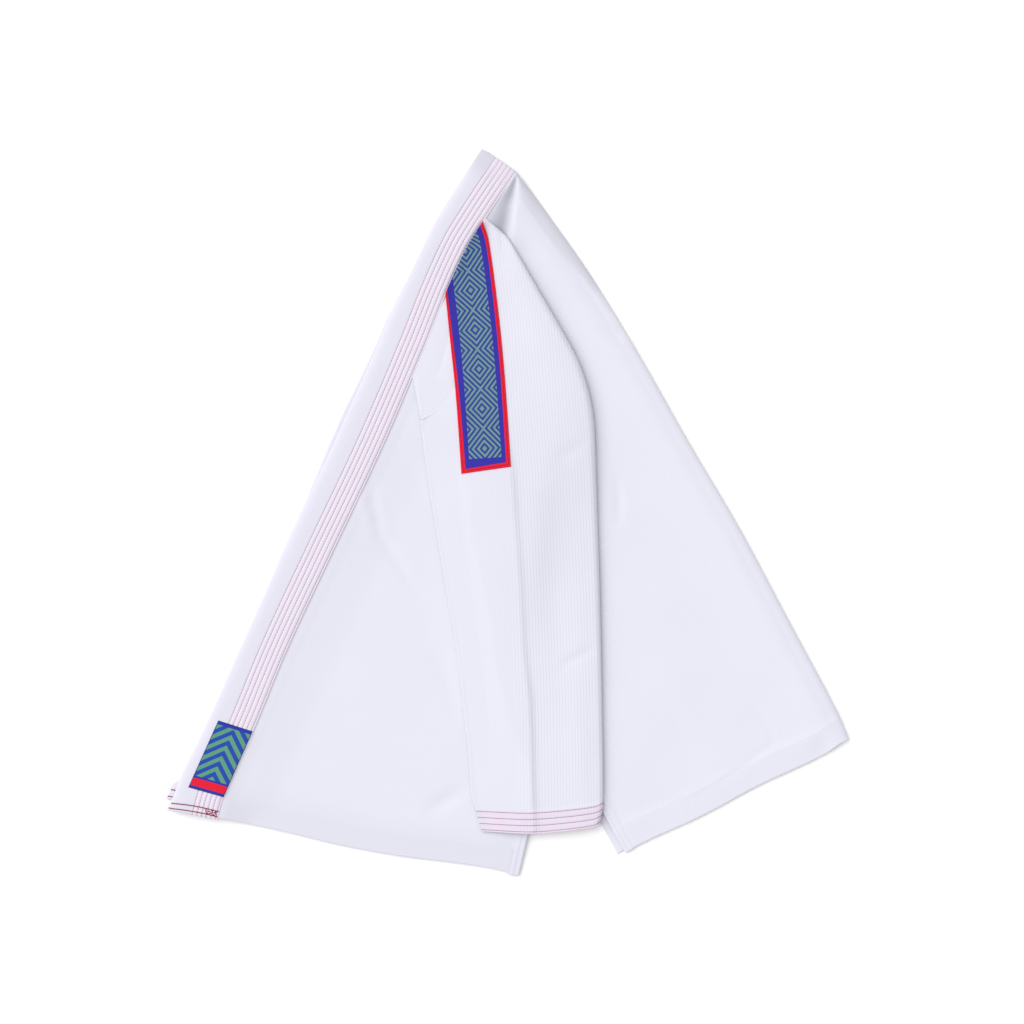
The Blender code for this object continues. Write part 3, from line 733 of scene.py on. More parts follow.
class Builder:
    """Short way to add and join the nodes of a tree."""

    def __init__(self, tree: bpy.types.NodeTree) -> None:
        """Take the tree."""
        self.tree = tree

    def add(self, kind: str, inputs: dict[str | int, object] | None = None,
            **settings: object) -> bpy.types.Node:
        """Add a node.

        Args:
            kind: The node's type.
            inputs: Values or sockets for its inputs.
            **settings: Its own properties.

        Returns:
            The node.
        """
        node = self.tree.nodes.new(kind)
        for key, value in settings.items():
            setattr(node, key, value)
        for key, value in (inputs or {}).items():
            self.feed(node.inputs[key], value)
        return node

    def feed(self, socket: bpy.types.NodeSocket, value: object) -> None:
        """Join a socket to another one, or give it a value.

        Args:
            socket: Input to feed.
            value: Another node's output, or a plain value.
        """
        if isinstance(value, bpy.types.NodeSocket):
            self.tree.links.new(value, socket)
        else:
            socket.default_value = value

    def math(self, operation: str, *values: object) -> bpy.types.NodeSocket:
        """Result of a Math node."""
        return self.add("ShaderNodeMath", dict(enumerate(values)), operation=operation).outputs[0]

    def mix(self, share: object, first: object, second: object) -> bpy.types.NodeSocket:
        """Mix of two colours.

        Args:
            share: Share of the second colour.
            first: First colour.
            second: Second colour.

        Returns:
            The mixed colour.
        """
        node = self.add("ShaderNodeMix", data_type="RGBA")
        for key, value in ((0, share), (6, first), (7, second)):
            self.feed(node.inputs[key], value)
        return node.outputs[2]


def new_group(name: str, inputs: dict[str, float | str], outputs: Sequence[str],
              kind: str = "ShaderNodeTree") -> tuple[Builder, bpy.types.Node, bpy.types.Node]:
    """Start a node group.

    Args:
        name: Its name.
        inputs: Its inputs, each with a number, or the name of another socket type.
        outputs: Its outputs, which are numbers in a shader group.
        kind: Its tree type.

    Returns:
        A builder for its tree, its input node and its output node.
    """
    tree = bpy.data.node_groups.new(name, kind)
    for label, value in inputs.items():
        kind_of = value if isinstance(value, str) else "NodeSocketFloat"
        socket = tree.interface.new_socket(label, in_out="INPUT", socket_type=kind_of)
        if not isinstance(value, str):
            socket.default_value = value
    for label in outputs:
        kind_of = "NodeSocketGeometry" if label == "Geometry" else "NodeSocketFloat"
        tree.interface.new_socket(label, in_out="OUTPUT", socket_type=kind_of)
    return Builder(tree), tree.nodes.new("NodeGroupInput"), tree.nodes.new("NodeGroupOutput")


def pearl_weave_group() -> bpy.types.NodeTree:
    """Group that gives the height of a ribbed weave of small grains.

    Returns:
        The group, which puts out Height.
    """
    build, given, out = new_group(
        "pearl_weave", {"Place": "NodeSocketVector", "Pitch": 0.0035, "Grain": 0.0042}, ["Height"])
    apart = build.add("ShaderNodeSeparateXYZ", {0: given.outputs["Place"]})
    rib = build.math("DIVIDE", apart.outputs[0], given.outputs["Pitch"])
    row = build.math("FLOOR", rib)
    across = build.math("SINE", build.math("MULTIPLY", build.math("FRACT", rib), math.pi))
    offset = build.math("MULTIPLY", build.math("MODULO", row, 2.0), 0.5)
    along = build.math("DIVIDE", apart.outputs[1], given.outputs["Grain"])
    wave = build.math("SINE", build.math("MULTIPLY", build.math("ADD", along, offset), 2.0 * math.pi))
    grain = build.math("MULTIPLY_ADD", wave, 0.14, 0.86)
    height = build.math("MULTIPLY", build.math("POWER", across, 0.6), grain)
    build.feed(out.inputs["Height"], height)
    return build.tree


def cloth_tone_group() -> bpy.types.NodeTree:
    """Group that gives the slight unevenness of a cloth's tone.

    Returns:
        The group, which puts out Tone, in wide patches, and Fuzz, thread by thread.
    """
    build, given, out = new_group(
        "cloth_tone", {"Place": "NodeSocketVector", "Scale": 14.0, "Slub": 900.0}, ["Tone", "Fuzz"])
    broad = build.add("ShaderNodeTexNoise", {
        "Vector": given.outputs["Place"], "Scale": given.outputs["Scale"], "Detail": 3.0})
    fine = build.add("ShaderNodeTexNoise", {
        "Vector": given.outputs["Place"], "Scale": given.outputs["Slub"], "Detail": 2.0})
    build.feed(out.inputs["Tone"], broad.outputs[0])
    build.feed(out.inputs["Fuzz"], fine.outputs[0])
    return build.tree


@dataclass(frozen=True)
class CottonFinish:
    """White cotton: its colour, its ribs and how strongly they stand out."""

    name: str
    colour: tuple[float, float, float]
    pitch: float
    grain: float
    rib_depth: float
    pressed: float = 1.0           # share of the ribs' depth left of the sleeve's ridge
    rib_valley_shade: float = 0.06           # painted shade: how much darker the cloth is between its ribs
    glow: tuple[float, float, float] = (0.0, 0.0, 0.0)
    glow_reach: float = 0.0
    painted_shade_share: float = 0.62     # share of its colour where the painted shade is full
    roughness: float = 0.9

    def make(self) -> bpy.types.Material:
        """Build the material.

        Returns:
            The material, whose pattern follows the piece's own UV map.
        """
        finish = bpy.data.materials.new(self.name)
        finish.use_nodes = True
        build = Builder(finish.node_tree)
        shader = finish.node_tree.nodes["Principled BSDF"]
        place = build.add("ShaderNodeUVMap", uv_map="cloth").outputs[0]
        weave = build.add("ShaderNodeGroup", node_tree=bpy.data.node_groups["pearl_weave"])
        tone = build.add("ShaderNodeGroup", node_tree=bpy.data.node_groups["cloth_tone"])
        build.feed(weave.inputs["Place"], place)
        build.feed(tone.inputs["Place"], place)
        weave.inputs["Pitch"].default_value = self.pitch * MM
        weave.inputs["Grain"].default_value = self.grain * MM
        pale = tuple(min(1.0, c * 1.015) for c in self.colour)
        dull = tuple(c * 0.985 for c in self.colour)
        colour = build.mix(tone.outputs["Tone"], (*dull, 1.0), (*pale, 1.0))
        ribs = build.math("MULTIPLY", weave.outputs["Height"], self.add_pressing(build, place))
        # Painted shade between the ribs: the colour is darkened in their valleys.
        rib_valley_shade = build.math("MULTIPLY_ADD", ribs, -self.rib_valley_shade, self.rib_valley_shade)
        colour = build.mix(rib_valley_shade, colour, (*(c * 0.7 for c in self.colour), 1.0))
        # Painted shade: the hollow attribute darkens the colour in folds, in hollows and beside steps.
        hollow = build.add("ShaderNodeAttribute", attribute_name="hollow").outputs["Fac"]
        colour = build.mix(hollow, colour, (*(c * self.painted_shade_share for c in self.colour), 1.0))
        if self.glow_reach > 0.0:
            colour = self.add_glow(build, place, colour)
        height = build.math("MULTIPLY_ADD", tone.outputs["Fuzz"], 0.12, ribs)
        bump = build.add("ShaderNodeBump", {"Height": height, "Distance": self.rib_depth * MM,
                                            "Strength": 1.0})
        build.feed(shader.inputs["Base Color"], colour)
        build.feed(shader.inputs["Normal"], bump.outputs[0])
        shader.inputs["Roughness"].default_value = self.roughness
        shader.inputs["Sheen Weight"].default_value = 0.12
        shader.inputs["Specular IOR Level"].default_value = 0.25
        return finish

    def add_pressing(self, build: Builder, place: bpy.types.NodeSocket) -> bpy.types.NodeSocket:
        """Share of the ribs' depth, less on the side of the sleeve that is pressed flat.

        Args:
            build: Builder of the material's tree.
            place: Place on the flat cloth.

        Returns:
            The share.
        """
        apart = build.add("ShaderNodeSeparateXYZ", {0: place})
        share = build.add("ShaderNodeMapRange", {
            "Value": apart.outputs[0], "From Min": -8.0 * MM, "From Max": 2.0 * MM,
            "To Min": self.pressed, "To Max": 1.0})
        return share.outputs[0]

    def add_glow(self, build: Builder, place: bpy.types.NodeSocket,
                 colour: bpy.types.NodeSocket) -> bpy.types.NodeSocket:
        """Blush of red thread that shows through the cloth near its stitched edge.

        Args:
            build: Builder of the material's tree.
            place: Place on the flat cloth.
            colour: The cloth's colour without it.

        Returns:
            The colour with the blush.
        """
        from_edge = build.add("ShaderNodeAttribute", attribute_name="from_edge").outputs["Fac"]
        inside = build.add("ShaderNodeMapRange", {
            "Value": from_edge, "From Min": self.glow_reach * MM,
            "From Max": (self.glow_reach - 1.5) * MM, "To Min": 0.0, "To Max": 1.0})
        patchy = build.add("ShaderNodeTexNoise", {"Vector": place, "Scale": 55.0, "Detail": 2.0})
        strength = build.math("MULTIPLY_ADD", patchy.outputs[0], 1.2, 0.2)
        share = build.math("MULTIPLY", inside.outputs[0], strength)
        return build.mix(share, colour, (*self.glow, 1.0))


@dataclass(frozen=True)
class ThreadFinish:
    """Sewing thread with a slight twist."""

    name: str
    colour: tuple[float, float, float]

    def make(self) -> bpy.types.Material:
        """Build the material.

        Returns:
            The material.
        """
        finish = bpy.data.materials.new(self.name)
        finish.use_nodes = True
        build = Builder(finish.node_tree)
        shader = finish.node_tree.nodes["Principled BSDF"]
        place = build.add("ShaderNodeTexCoord").outputs["Object"]
        twist = build.add("ShaderNodeTexNoise", {"Vector": place, "Scale": 900.0})
        dark = tuple(c * 0.75 for c in self.colour)
        build.feed(shader.inputs["Base Color"],
                   build.mix(twist.outputs[0], (*dark, 1.0), (*self.colour, 1.0)))
        shader.inputs["Roughness"].default_value = 0.6
        return finish


class Motif(Enum):
    """Plain woven designs for the patch and the label."""

    LOZENGES = "lozenges"
    CHEVRONS = "chevrons"


@dataclass(frozen=True)
class WovenFinish:
    """Woven badge cloth: a field with a line design, and bands along its edges."""

    name: str
    motif: Motif
    width: float
    line: float
    border: float                  # width of the red border, 0 without one
    margin: float                  # plain field between border and design
    foot: float                    # height where the design begins
    head: float                    # height where it ends
    field_colour: tuple[float, float, float] = (0.036, 0.031, 0.40)
    ground_colour: tuple[float, float, float] = (0.030, 0.058, 0.31)
    line_colour: tuple[float, float, float] = (0.180, 0.325, 0.335)
    red: tuple[float, float, float] = (0.86, 0.010, 0.034)
    edge_colour: tuple[float, float, float] = (0.30, 0.0, 0.015)
    tile: float = 46.0             # height of one lozenge
    strip: tuple[float, float] = (0.0, 0.0)   # heights of a bare red strip, on a badge without border

    def make(self) -> bpy.types.Material:
        """Build the material.

        Returns:
            The material. The UV map gives the place across the badge and up from its foot.
        """
        finish = bpy.data.materials.new(self.name)
        finish.use_nodes = True
        build = Builder(finish.node_tree)
        shader = finish.node_tree.nodes["Principled BSDF"]
        place = build.add("ShaderNodeUVMap", uv_map="cloth").outputs[0]
        apart = build.add("ShaderNodeSeparateXYZ", {0: place})
        across = build.math("DIVIDE", apart.outputs[0], MM)
        up = build.math("DIVIDE", apart.outputs[1], MM)
        edge = build.add("ShaderNodeAttribute", attribute_name="from_edge").outputs["Fac"]
        from_edge = build.math("DIVIDE", edge, MM)
        from_centre = build.math("ABSOLUTE", build.math("SUBTRACT", across, self.width / 2.0))
        inside = build.math("LESS_THAN", from_centre, self.width / 2.0 - self.border - self.margin)
        inside = build.math("MULTIPLY", inside, self.between(build, up, self.foot, self.head))
        colour = build.mix(self.design(build, from_centre, up), (*self.ground_colour, 1.0),
                           (*self.line_colour, 1.0))
        colour = build.mix(inside, (*self.field_colour, 1.0), colour)
        if self.border:
            red = build.math("LESS_THAN", from_edge, self.border)
            line = self.between(build, from_edge, self.border / 2.0 - 0.15, self.border / 2.0 + 0.25)
        else:
            red = self.between(build, up, *self.strip)
            line = build.math("LESS_THAN", from_edge, 0.8)
        colour = build.mix(red, colour, (*self.red, 1.0))
        colour = build.mix(line, colour, (*self.edge_colour, 1.0))
        rise = build.math("MULTIPLY", build.math("ADD", across, up), 2.0 * math.pi / 0.9)
        rows = build.math("SINE", rise)
        slant = build.math("MULTIPLY", build.math("SUBTRACT", across, up), 2.0 * math.pi / 1.3)
        picks = build.math("ADD", rows, build.math("SINE", slant))
        shade = build.math("MULTIPLY_ADD", picks, 0.05, 0.10)
        dark = build.mix(shade, colour, (0.01, 0.01, 0.03, 1.0))
        bump = build.add("ShaderNodeBump", {"Height": picks, "Distance": 0.12 * MM, "Strength": 0.8})
        build.feed(shader.inputs["Base Color"], dark)
        build.feed(shader.inputs["Normal"], bump.outputs[0])
        shader.inputs["Roughness"].default_value = 0.7
        shader.inputs["Sheen Weight"].default_value = 0.03
        shader.inputs["Specular IOR Level"].default_value = 0.2
        return finish

    def between(self, build: Builder, value: bpy.types.NodeSocket, low: float,
                high: float) -> bpy.types.NodeSocket:
        """Mask of the values between two limits."""
        return build.math("MULTIPLY", build.math("GREATER_THAN", value, low),
                          build.math("LESS_THAN", value, high))

    def design(self, build: Builder, from_centre: bpy.types.NodeSocket,
               up: bpy.types.NodeSocket) -> bpy.types.NodeSocket:
        """Mask of the design's lines.

        Args:
            build: Builder of the material's tree.
            from_centre: Distance from the badge's centre line.
            up: Distance up from its foot.

        Returns:
            The mask.
        """
        if self.motif is Motif.LOZENGES:
            place = build.math("MODULO", up, self.tile)
            away = build.math("ABSOLUTE", build.math("SUBTRACT", place, self.tile / 2.0))
            level = build.math("MULTIPLY_ADD", from_centre, 1.15, away)
        else:
            level = build.math("MULTIPLY_ADD", from_centre, 0.9, up)
        share = build.math("FRACT", build.math("DIVIDE", level, 2.0 * self.line))
        return build.math("LESS_THAN", share, 0.5)


WHITE = (0.652, 0.649, 0.731)
SLEEVE_COTTON = CottonFinish("sleeve_cotton", WHITE, pitch=3.5, grain=4.4, rib_depth=0.24,
                             pressed=0.35, rib_valley_shade=0.11, glow=(0.655, 0.578, 0.680),
                             glow_reach=26.0)
BACK_COTTON = CottonFinish("back_cotton", WHITE, pitch=2.5, grain=3.6, rib_depth=0.10)
FRONT_COTTON = CottonFinish("front_cotton", WHITE, pitch=2.5, grain=3.6, rib_depth=0.05)
LAPEL_COTTON = CottonFinish("lapel_cloth", (0.640, 0.628, 0.715), pitch=1.3, grain=1.7,
                            rib_depth=0.06, glow=(0.690, 0.622, 0.715), glow_reach=31.5)
PATCH_WEAVE = WovenFinish("patch_cloth", Motif.LOZENGES, width=57.5, line=3.5, border=5.2,
                          margin=5.0, foot=12.0, head=300.0)
LABEL_WEAVE = WovenFinish("label_cloth", Motif.CHEVRONS, width=41.5, line=6.2, border=0.0,
                          margin=0.8, foot=14.5, head=75.0, field_colour=(0.022, 0.040, 0.42),
                          ground_colour=(0.018, 0.075, 0.44), line_colour=(0.125, 0.36, 0.235),
                          edge_colour=(0.015, 0.02, 0.20), strip=(3.4, 12.2))
LAPEL_THREAD = ThreadFinish("lapel_thread", (0.42, 0.26, 0.36))
CUFF_THREAD = ThreadFinish("cuff_thread", (0.42, 0.17, 0.34))
RED_THREAD = ThreadFinish("red_thread", (0.31, 0.012, 0.07))


@dataclass
class FarLayers:
    """Far front, far back and far sleeve, which lie hidden but for slivers at the vent."""

    length: float = 560.0          # down the middle
    width: float = 160.0           # of each half, across the vent
    parted: float = 150.0          # length below which the hems stand apart
    edge: float = 1.6              # its free edges are rounded over this distance
    under_fold: float = 3.1        # room for the edge that the back turns under

    def build(self) -> bpy.types.Object:
        """Build one rounded solid with the far hems at its foot.

        Returns:
            The piece.
        """
        left = beside_lapel(NECK_FOOT, LAPEL_FOOT)
        inside_fold = Beside(FOLD, -FOLD_RADIUS, 0.074, 0.996)
        start = left.at(0.0) * 0.55 + inside_fold.at(0.0) * 0.45
        middle = Curve([start, *SIDE_SEAM[1:]])
        front = Patchwork(left, Chain(middle, Curve(FAR_FRONT_VENT), VENT_FROM),
                          straight(left.at(0.0), start),
                          hem_between(FRONT_HEM, left, Curve(FAR_FRONT_VENT), HEM_INSET))
        back = Patchwork(Chain(middle, Curve(FAR_BACK_VENT), VENT_FROM), inside_fold,
                         straight(start, inside_fold.at(0.0)),
                         hem_between(BACK_HEM, Curve(FAR_BACK_VENT), inside_fold, HEM_INSET))
        joined = np.linspace(0.0, VENT_FROM, 64)
        parted = VENT_FROM + (1.0 - VENT_FROM) * spread(self.parted, (0.0, 4.0), FAR_STEPS, 16)[1:]
        along = np.concatenate((joined, parted))
        front_plan, front_across, _ = front.grid(along, (0.0, 2.0), FAR_STEPS, 36)
        back_plan, back_across, _ = back.grid(along, FAR_STEPS, (0.0, 2.0), 36)
        points, faces, count = [], [], 0
        for plan, across, side in ((front_plan, front_across, -1), (back_plan, back_across, 0)):
            upper = bed_height(plan)
            from_vent = np.abs(across - (1.0 if side == -1 else 0.0))
            below = ease((along - VENT_FROM) / 0.03)[:, None]
            vent_drop = (1.0 - ease(from_vent * self.width / 14.0)) * below
            foot_drop = (1.0 - ease((1.0 - along) * self.length / 22.0))[:, None]
            foot_drop = foot_drop * np.ones_like(upper)
            beside_fold = 1.0 - ease(FOLD.distance(plan) / 45.0)
            low = HEM_LAYER + HEM_FILL * beside_fold
            upper = upper + (low - upper) * np.maximum(vent_drop, foot_drop)
            edge = np.minimum((1.0 - along)[:, None] * self.length, 99.0)
            vent_edge = np.where((along > VENT_FROM)[:, None], from_vent * self.width, 99.0)
            slope = rounding(np.minimum(edge, vent_edge), self.edge)
            under = self.underside(plan) + upper * 0.5 * (1.0 - slope)
            top = upper * (0.5 + 0.5 * slope)
            under = np.minimum(under, top - 0.15)
            grid_points, grid_faces = shell(with_height(plan, top), with_height(plan, under))
            points.append(grid_points)
            faces.append(grid_faces + count)
            count += len(grid_points)
        points, faces = self.weld(np.concatenate(points), np.concatenate(faces))
        piece = add_piece("far_cloth", points, faces, points[:, :2], FRONT_COTTON.make(),
                          ["far_layers"])
        return piece

    def underside(self, plan: np.ndarray) -> np.ndarray:
        """Flat, but raised over the edge that the back turns under."""
        from_fold = FOLD.distance(plan)
        return self.under_fold * (1.0 - ease((from_fold - FOLD_RADIUS - TURN_UNDER - 0.8) / 3.0))

    def weld(self, points: np.ndarray, faces: np.ndarray) -> tuple[np.ndarray, list[list[int]]]:
        """Join the two blocks where they share their middle column.

        Args:
            points: Points of both blocks.
            faces: Their faces.

        Returns:
            Each point once, and the faces that are left.
        """
        _, index, back = np.unique(np.round(points, 3), axis=0, return_index=True,
                                   return_inverse=True)
        merged = back.reshape(-1)[faces]
        ordered = np.sort(merged, axis=1)
        _, first, copies = np.unique(ordered, axis=0, return_index=True, return_counts=True)
        kept = merged[first[copies == 1]]
        tidy = [[v for k, v in enumerate(face) if v != face[k - 1]] for face in kept.tolist()]
        return points[index], [face for face in tidy if len(face) > 2]


@dataclass
class FrontPanel:
    """Near front, from where it comes out from under the shoulder to its hem and vent."""

    length: float = 540.0
    vent_from: float = 0.66        # share of its side where the vent's hem begins
    creases: tuple[Crease, ...] = (
        Crease(((-158.7, 43.7), (-154.0, 10.0), (-147.2, -26.5), (-97.8, -102.4)), 1.3, 6.5),
        Crease(((-172.0, 24.0), (-166.0, 6.0), (-158.0, -14.0)), -0.7, 7.0),
        Crease(((-97.8, -347.3), (-70.0, -331.0), (-44.9, -317.4)), 1.7, 9.0),
        Crease(((-120.0, 60.0), (-112.0, -20.0), (-100.0, -90.0)), -0.5, 14.0),
        Crease(((-255.0, -210.0), (-200.0, -225.0), (-150.0, -255.0)), 0.35, 16.0),
        Crease(((-82.0, -150.0), (-68.0, -200.0), (-58.0, -245.0)), 0.9, 10.0),
    )

    def build(self) -> bpy.types.Object:
        """Build the panel's cloth.

        Returns:
            The piece.
        """
        left = beside_lapel(FRONT_TOP, LAPEL_FOOT)
        seam = Beside(Curve(((4.0, 136.0),) + SIDE_SEAM[3:]), -SEAM_GAP)
        right = Chain(seam, Beside(Curve(FRONT_VENT), -SEAM_GAP), 0.68)
        hem = hem_between(FRONT_HEM, left, right)
        panel = Patchwork(left, right, straight(left.at(0.0), right.at(0.0)), hem)
        along = spread(self.length, (0.0, 2.0), HEM_STEPS, 150)
        plan, across, down = panel.grid(along, (0.0, 1.0, 2.5), VENT_STEPS, 118)
        widths = panel.widths(along)[:, None]
        from_vent = (1.0 - across) * widths
        from_hem = (1.0 - down) * self.length
        vent = ease((down - self.vent_from) / 0.03)
        turned = turned_cloth(from_hem, from_vent, vent)
        top = bed_height(plan) + LAYER_GAP + WALL - edge_drop(plan, hem) + turned
        for crease in self.creases:
            top = top + crease.relief(plan)
        top = top + ripple(plan, 3, 0.30, 90.0) * ease((LAPEL.distance(plan) - 2.0) / 30.0)
        top = top + 1.1 * (1.0 - ease(LAPEL.distance(plan) / 16.0))
        top = top + groove(from_hem, HEM_WIDTH, 0.45)
        for at in VENT_ROWS:
            top = top + vent * groove(from_vent, at, 0.4, 0.8)
        thick = WALL + turned - LAYER_SLACK
        edge = np.minimum(from_hem, from_vent)
        half = thick / 2.0 * rounding(edge, HEM_ROUND)
        middle = top - thick / 2.0
        points, faces = shell(with_height(plan, middle + half), with_height(plan, middle - half))
        marks = np.stack((points[:, 1], points[:, 0]), axis=-1)
        # Colour painted darker towards the hem, carried by the hollow attribute.
        low = 0.125 * (1.0 - ease((from_hem - 18.0) / 30.0)).ravel()
        piece = add_piece("front_cloth", points, faces, marks, FRONT_COTTON.make(),
                          ["front_panel"], hollow=np.concatenate((low, low)))
        return piece


@dataclass
class BackPanel:
    """Near half of the back, which rounds under at the centre-back fold."""

    length: float = 700.0
    below_neck: float = 690.0      # of its side, from the end of the neck seam to the hem
    vent_from: float = 0.78        # share of its side where the vent's hem begins
    fold_run: tuple[float, float] = (0.503, -0.864)  # along the fold, across its ribs
    creases: tuple[Crease, ...] = (
        Crease(((78.0, 262.0), (92.0, 250.0), (112.0, 243.0)), 0.7, 5.0),
        Crease(((104.0, 214.0), (122.0, 203.0), (142.0, 199.0)), 0.7, 5.0),
        Crease(((124.2, 44.0), (128.0, 10.0), (126.5, -20.0)), 1.2, 6.0),
        Crease(((140.0, 130.0), (180.0, 60.0), (210.0, -30.0)), 0.45, 26.0),
        Crease(((150.0, -120.0), (190.0, -190.0), (215.0, -250.0)), -0.5, 24.0),
        Crease(((151.8, -334.7), (209.3, -331.2), (255.3, -302.5), (298.0, -272.0), (307.0, -262.0),
                (301.3, -250.7), (272.6, -204.7)), 0.55, 4.0),
    )

    def build(self) -> bpy.types.Object:
        """Build the panel's cloth, its rounded fold and the edge turned under.

        Returns:
            The piece.
        """
        neck = beside_lapel(COLLAR_INNER[0][1], NECK_FOOT)
        neck_end = LAPEL.share_at(NECK_FOOT)
        seam = Curve([neck.at(1.0), *SIDE_SEAM[1:]])
        left = Chain(neck, Chain(seam, Curve(BACK_VENT), VENT_FROM), neck_end)
        along = np.concatenate((
            np.linspace(0.0, neck_end, 20, endpoint=False),
            neck_end + (1.0 - neck_end) * spread(self.below_neck, (0.0, 3.0), HEM_STEPS, 190)))
        reach = np.linalg.norm(FOLD.at(along) - left.at(along), axis=-1)
        radius = fold_radius(reach)
        right = FlatEdge(left)
        hem = hem_between(BACK_HEM, left, right)
        panel = Patchwork(left, right, straight(left.at(0.0), right.at(0.0)), hem)
        fold_steps = (0.0, 1.0, 2.5, 4.5, 7.0, 10.0, 14.0)
        plan, across, down = panel.grid(along, VENT_STEPS, fold_steps, 110)
        widths = panel.widths(along)[:, None]
        from_vent, from_hem = across * widths, (1.0 - down) * self.length
        vent = ease((down - self.vent_from) / 0.03)
        turned = turned_cloth(from_hem, from_vent, vent)
        drop = edge_drop(plan, hem) * ease((FOLD.distance(plan) - 5.0) / 30.0)
        top = bed_height(plan) + LAYER_GAP + WALL - drop + turned + neck_hollow(plan)[1]
        for crease in self.creases:
            top = top + crease.relief(plan)
        top = top + ripple(plan, 8, 0.30, 100.0) * ease((FOLD.distance(plan) - 2.0) / 30.0)
        top = top + groove(from_hem, HEM_WIDTH, 0.35)
        for at in VENT_ROWS:
            top = top + vent * groove(from_vent, at, 0.4, 0.8)
        thick = WALL + turned - LAYER_SLACK
        edge = np.minimum(from_hem, np.where(down > self.vent_from, from_vent, 99.0))
        half = thick / 2.0 * rounding(edge, HEM_ROUND)
        middle = top - thick / 2.0
        upper, lower = with_height(plan, middle + half), with_height(plan, middle - half)
        room = np.clip(reach - radius - 5.0, 1.0, TURN_UNDER)
        upper_turn, lower_turn = self.turned_edge(upper[:, -1], lower[:, -1], FOLD.side(along),
                                                  radius, room)
        points, faces = shell(np.concatenate((upper, upper_turn), axis=1),
                              np.concatenate((lower, lower_turn), axis=1))
        run = np.array(self.fold_run)
        marks = np.stack((points[:, :2] @ run, points[:, :2] @ np.array((-run[1], run[0]))), axis=-1)
        piece = add_piece("back_cloth", points, faces, marks, BACK_COTTON.make(),
                          ["back_panel"], hollow=self.shade(points[:, :2]))
        return piece

    def shade(self, plan: np.ndarray) -> np.ndarray:
        """Painted shade: beside the neck seam, towards the upper fold, beside the sleeve.

        Args:
            plan: Points, with x and y in the last axis.

        Returns:
            Shares from 0 to 1.
        """
        y = plan[:, 1]
        reach = (8.0 + 9.0 * ease((y - 240.0) / 75.0)) * (0.1 + 0.9 * ease((395.0 - y) / 45.0))
        towards_fold = 1.0 - np.clip(FOLD.distance(plan) / reach, 0.0, 1.0) ** 2
        upper = ease((y + 10.0) / 70.0)
        beside_sleeve = np.exp(-((RIGHT_OF_SLEEVE.distance(plan) / (6.0 + 5.0 * upper)) ** 2))
        return np.maximum.reduce((neck_hollow(plan)[2], 0.50 * towards_fold * ease((y - 215.0) / 60.0),
                                  (0.19 + 0.06 * upper) * beside_sleeve))

    def turned_edge(self, top: np.ndarray, low: np.ndarray, out: np.ndarray, radius: np.ndarray,
                    room: np.ndarray) -> tuple[np.ndarray, np.ndarray]:
        """Points round the centre-back fold and on under it.

        Args:
            top: Last points of the upper face.
            low: Last points of the lower face.
            out: Unit vectors away from the cloth, in plan.
            radius: How far the rounding reaches, for each row.
            room: How far the cloth runs on under it.

        Returns:
            Columns of points for the upper and the lower face.
        """
        centre = top[:, 2] / 2.0
        wall = top[:, 2] - low[:, 2]
        faces = []
        for reach, rise in ((radius, centre), (np.maximum(radius - wall, 0.4), centre - wall)):
            columns = []
            for angle in np.radians(np.linspace(75.0, -90.0, 12)):
                plan = top[:, :2] + out * (reach * np.cos(angle))[:, None]
                columns.append(with_height(plan, centre + rise * np.sin(angle)))
            flat = columns[-1].copy()
            flat[:, :2] -= out * room[:, None]
            faces.append(np.stack(columns + [flat], axis=1))
        return faces[0], faces[1]


class FlatEdge:
    """Where the flat of the back ends and its rounding at the centre-back fold begins."""

    def __init__(self, left: Chain) -> None:
        """Take the panel's other side."""
        self.left = left

    def at(self, share: np.ndarray | float) -> np.ndarray:
        """Points on the edge of the flat.

        Args:
            share: Shares of the length, from 0 to 1.

        Returns:
            Plan points.
        """
        share = np.asarray(share, float)
        width = np.linalg.norm(FOLD.at(share) - self.left.at(share), axis=-1)
        return FOLD.at(share) - FOLD.side(share) * fold_radius(width)[..., None]


@dataclass
class Shoulder:
    """Top of the front, folded over so that it lies on the front panel, down to the armhole."""

    length: float = 190.0
    low: float = 10.0              # height at its folded edge
    high: float = 13.2             # height at the armhole

    def build(self) -> bpy.types.Object:
        """Build the folded cloth.

        Returns:
            The piece.
        """
        left = Chain(beside_lapel(SHOULDER_FROM, SHOULDER_TO), Curve(SHOULDER_FOLD), 0.8)
        seam = Beside(Curve(ARMHOLE), -SEAM_GAP)
        panel = Patchwork(left, seam, straight(left.at(0.0), seam.at(0.0)),
                          straight(left.at(1.0), seam.at(1.0)))
        ends, sides = (0.0, 0.4, 1.0, 2.0), (0.0, 0.3, 0.8, 1.6, 3.0)
        along = 0.05 + 0.945 * spread(self.length, ends, ends, 80)
        plan, across, down = panel.grid(along, sides, sides, 30)
        steep = 1.4 + 7.6 * ease((down - 0.7) / 0.1)
        top = self.low + (self.high - self.low) * ease(across * steep)
        under = bed_height(plan) + 2.0 * (WALL + LAYER_GAP) + 0.4
        top = np.maximum(top - PATCH_TUCK * under_lapel(plan), under) + ripple(plan, 5, 0.2, 50.0)
        widths = panel.widths(along)[:, None]
        from_fold, from_seam = across * widths, (1.0 - across) * widths
        free = np.where(down > 0.8, from_fold, 99.0)
        top = top + groove(from_seam, 4.0, 0.2) * ease((down - 0.1) / 0.2)
        half = (WALL - LAYER_SLACK) / 2.0 * rounding(np.minimum(free, from_seam), 1.2)
        middle = top - (WALL - LAYER_SLACK) / 2.0
        points, faces = shell(with_height(plan, middle + half), with_height(plan, middle - half))
        marks = np.stack((points[:, 1], points[:, 0]), axis=-1)
        piece = add_piece("shoulder_cloth", points, faces, marks, FRONT_COTTON.make(),
                          ["front_shoulder"])
        return piece


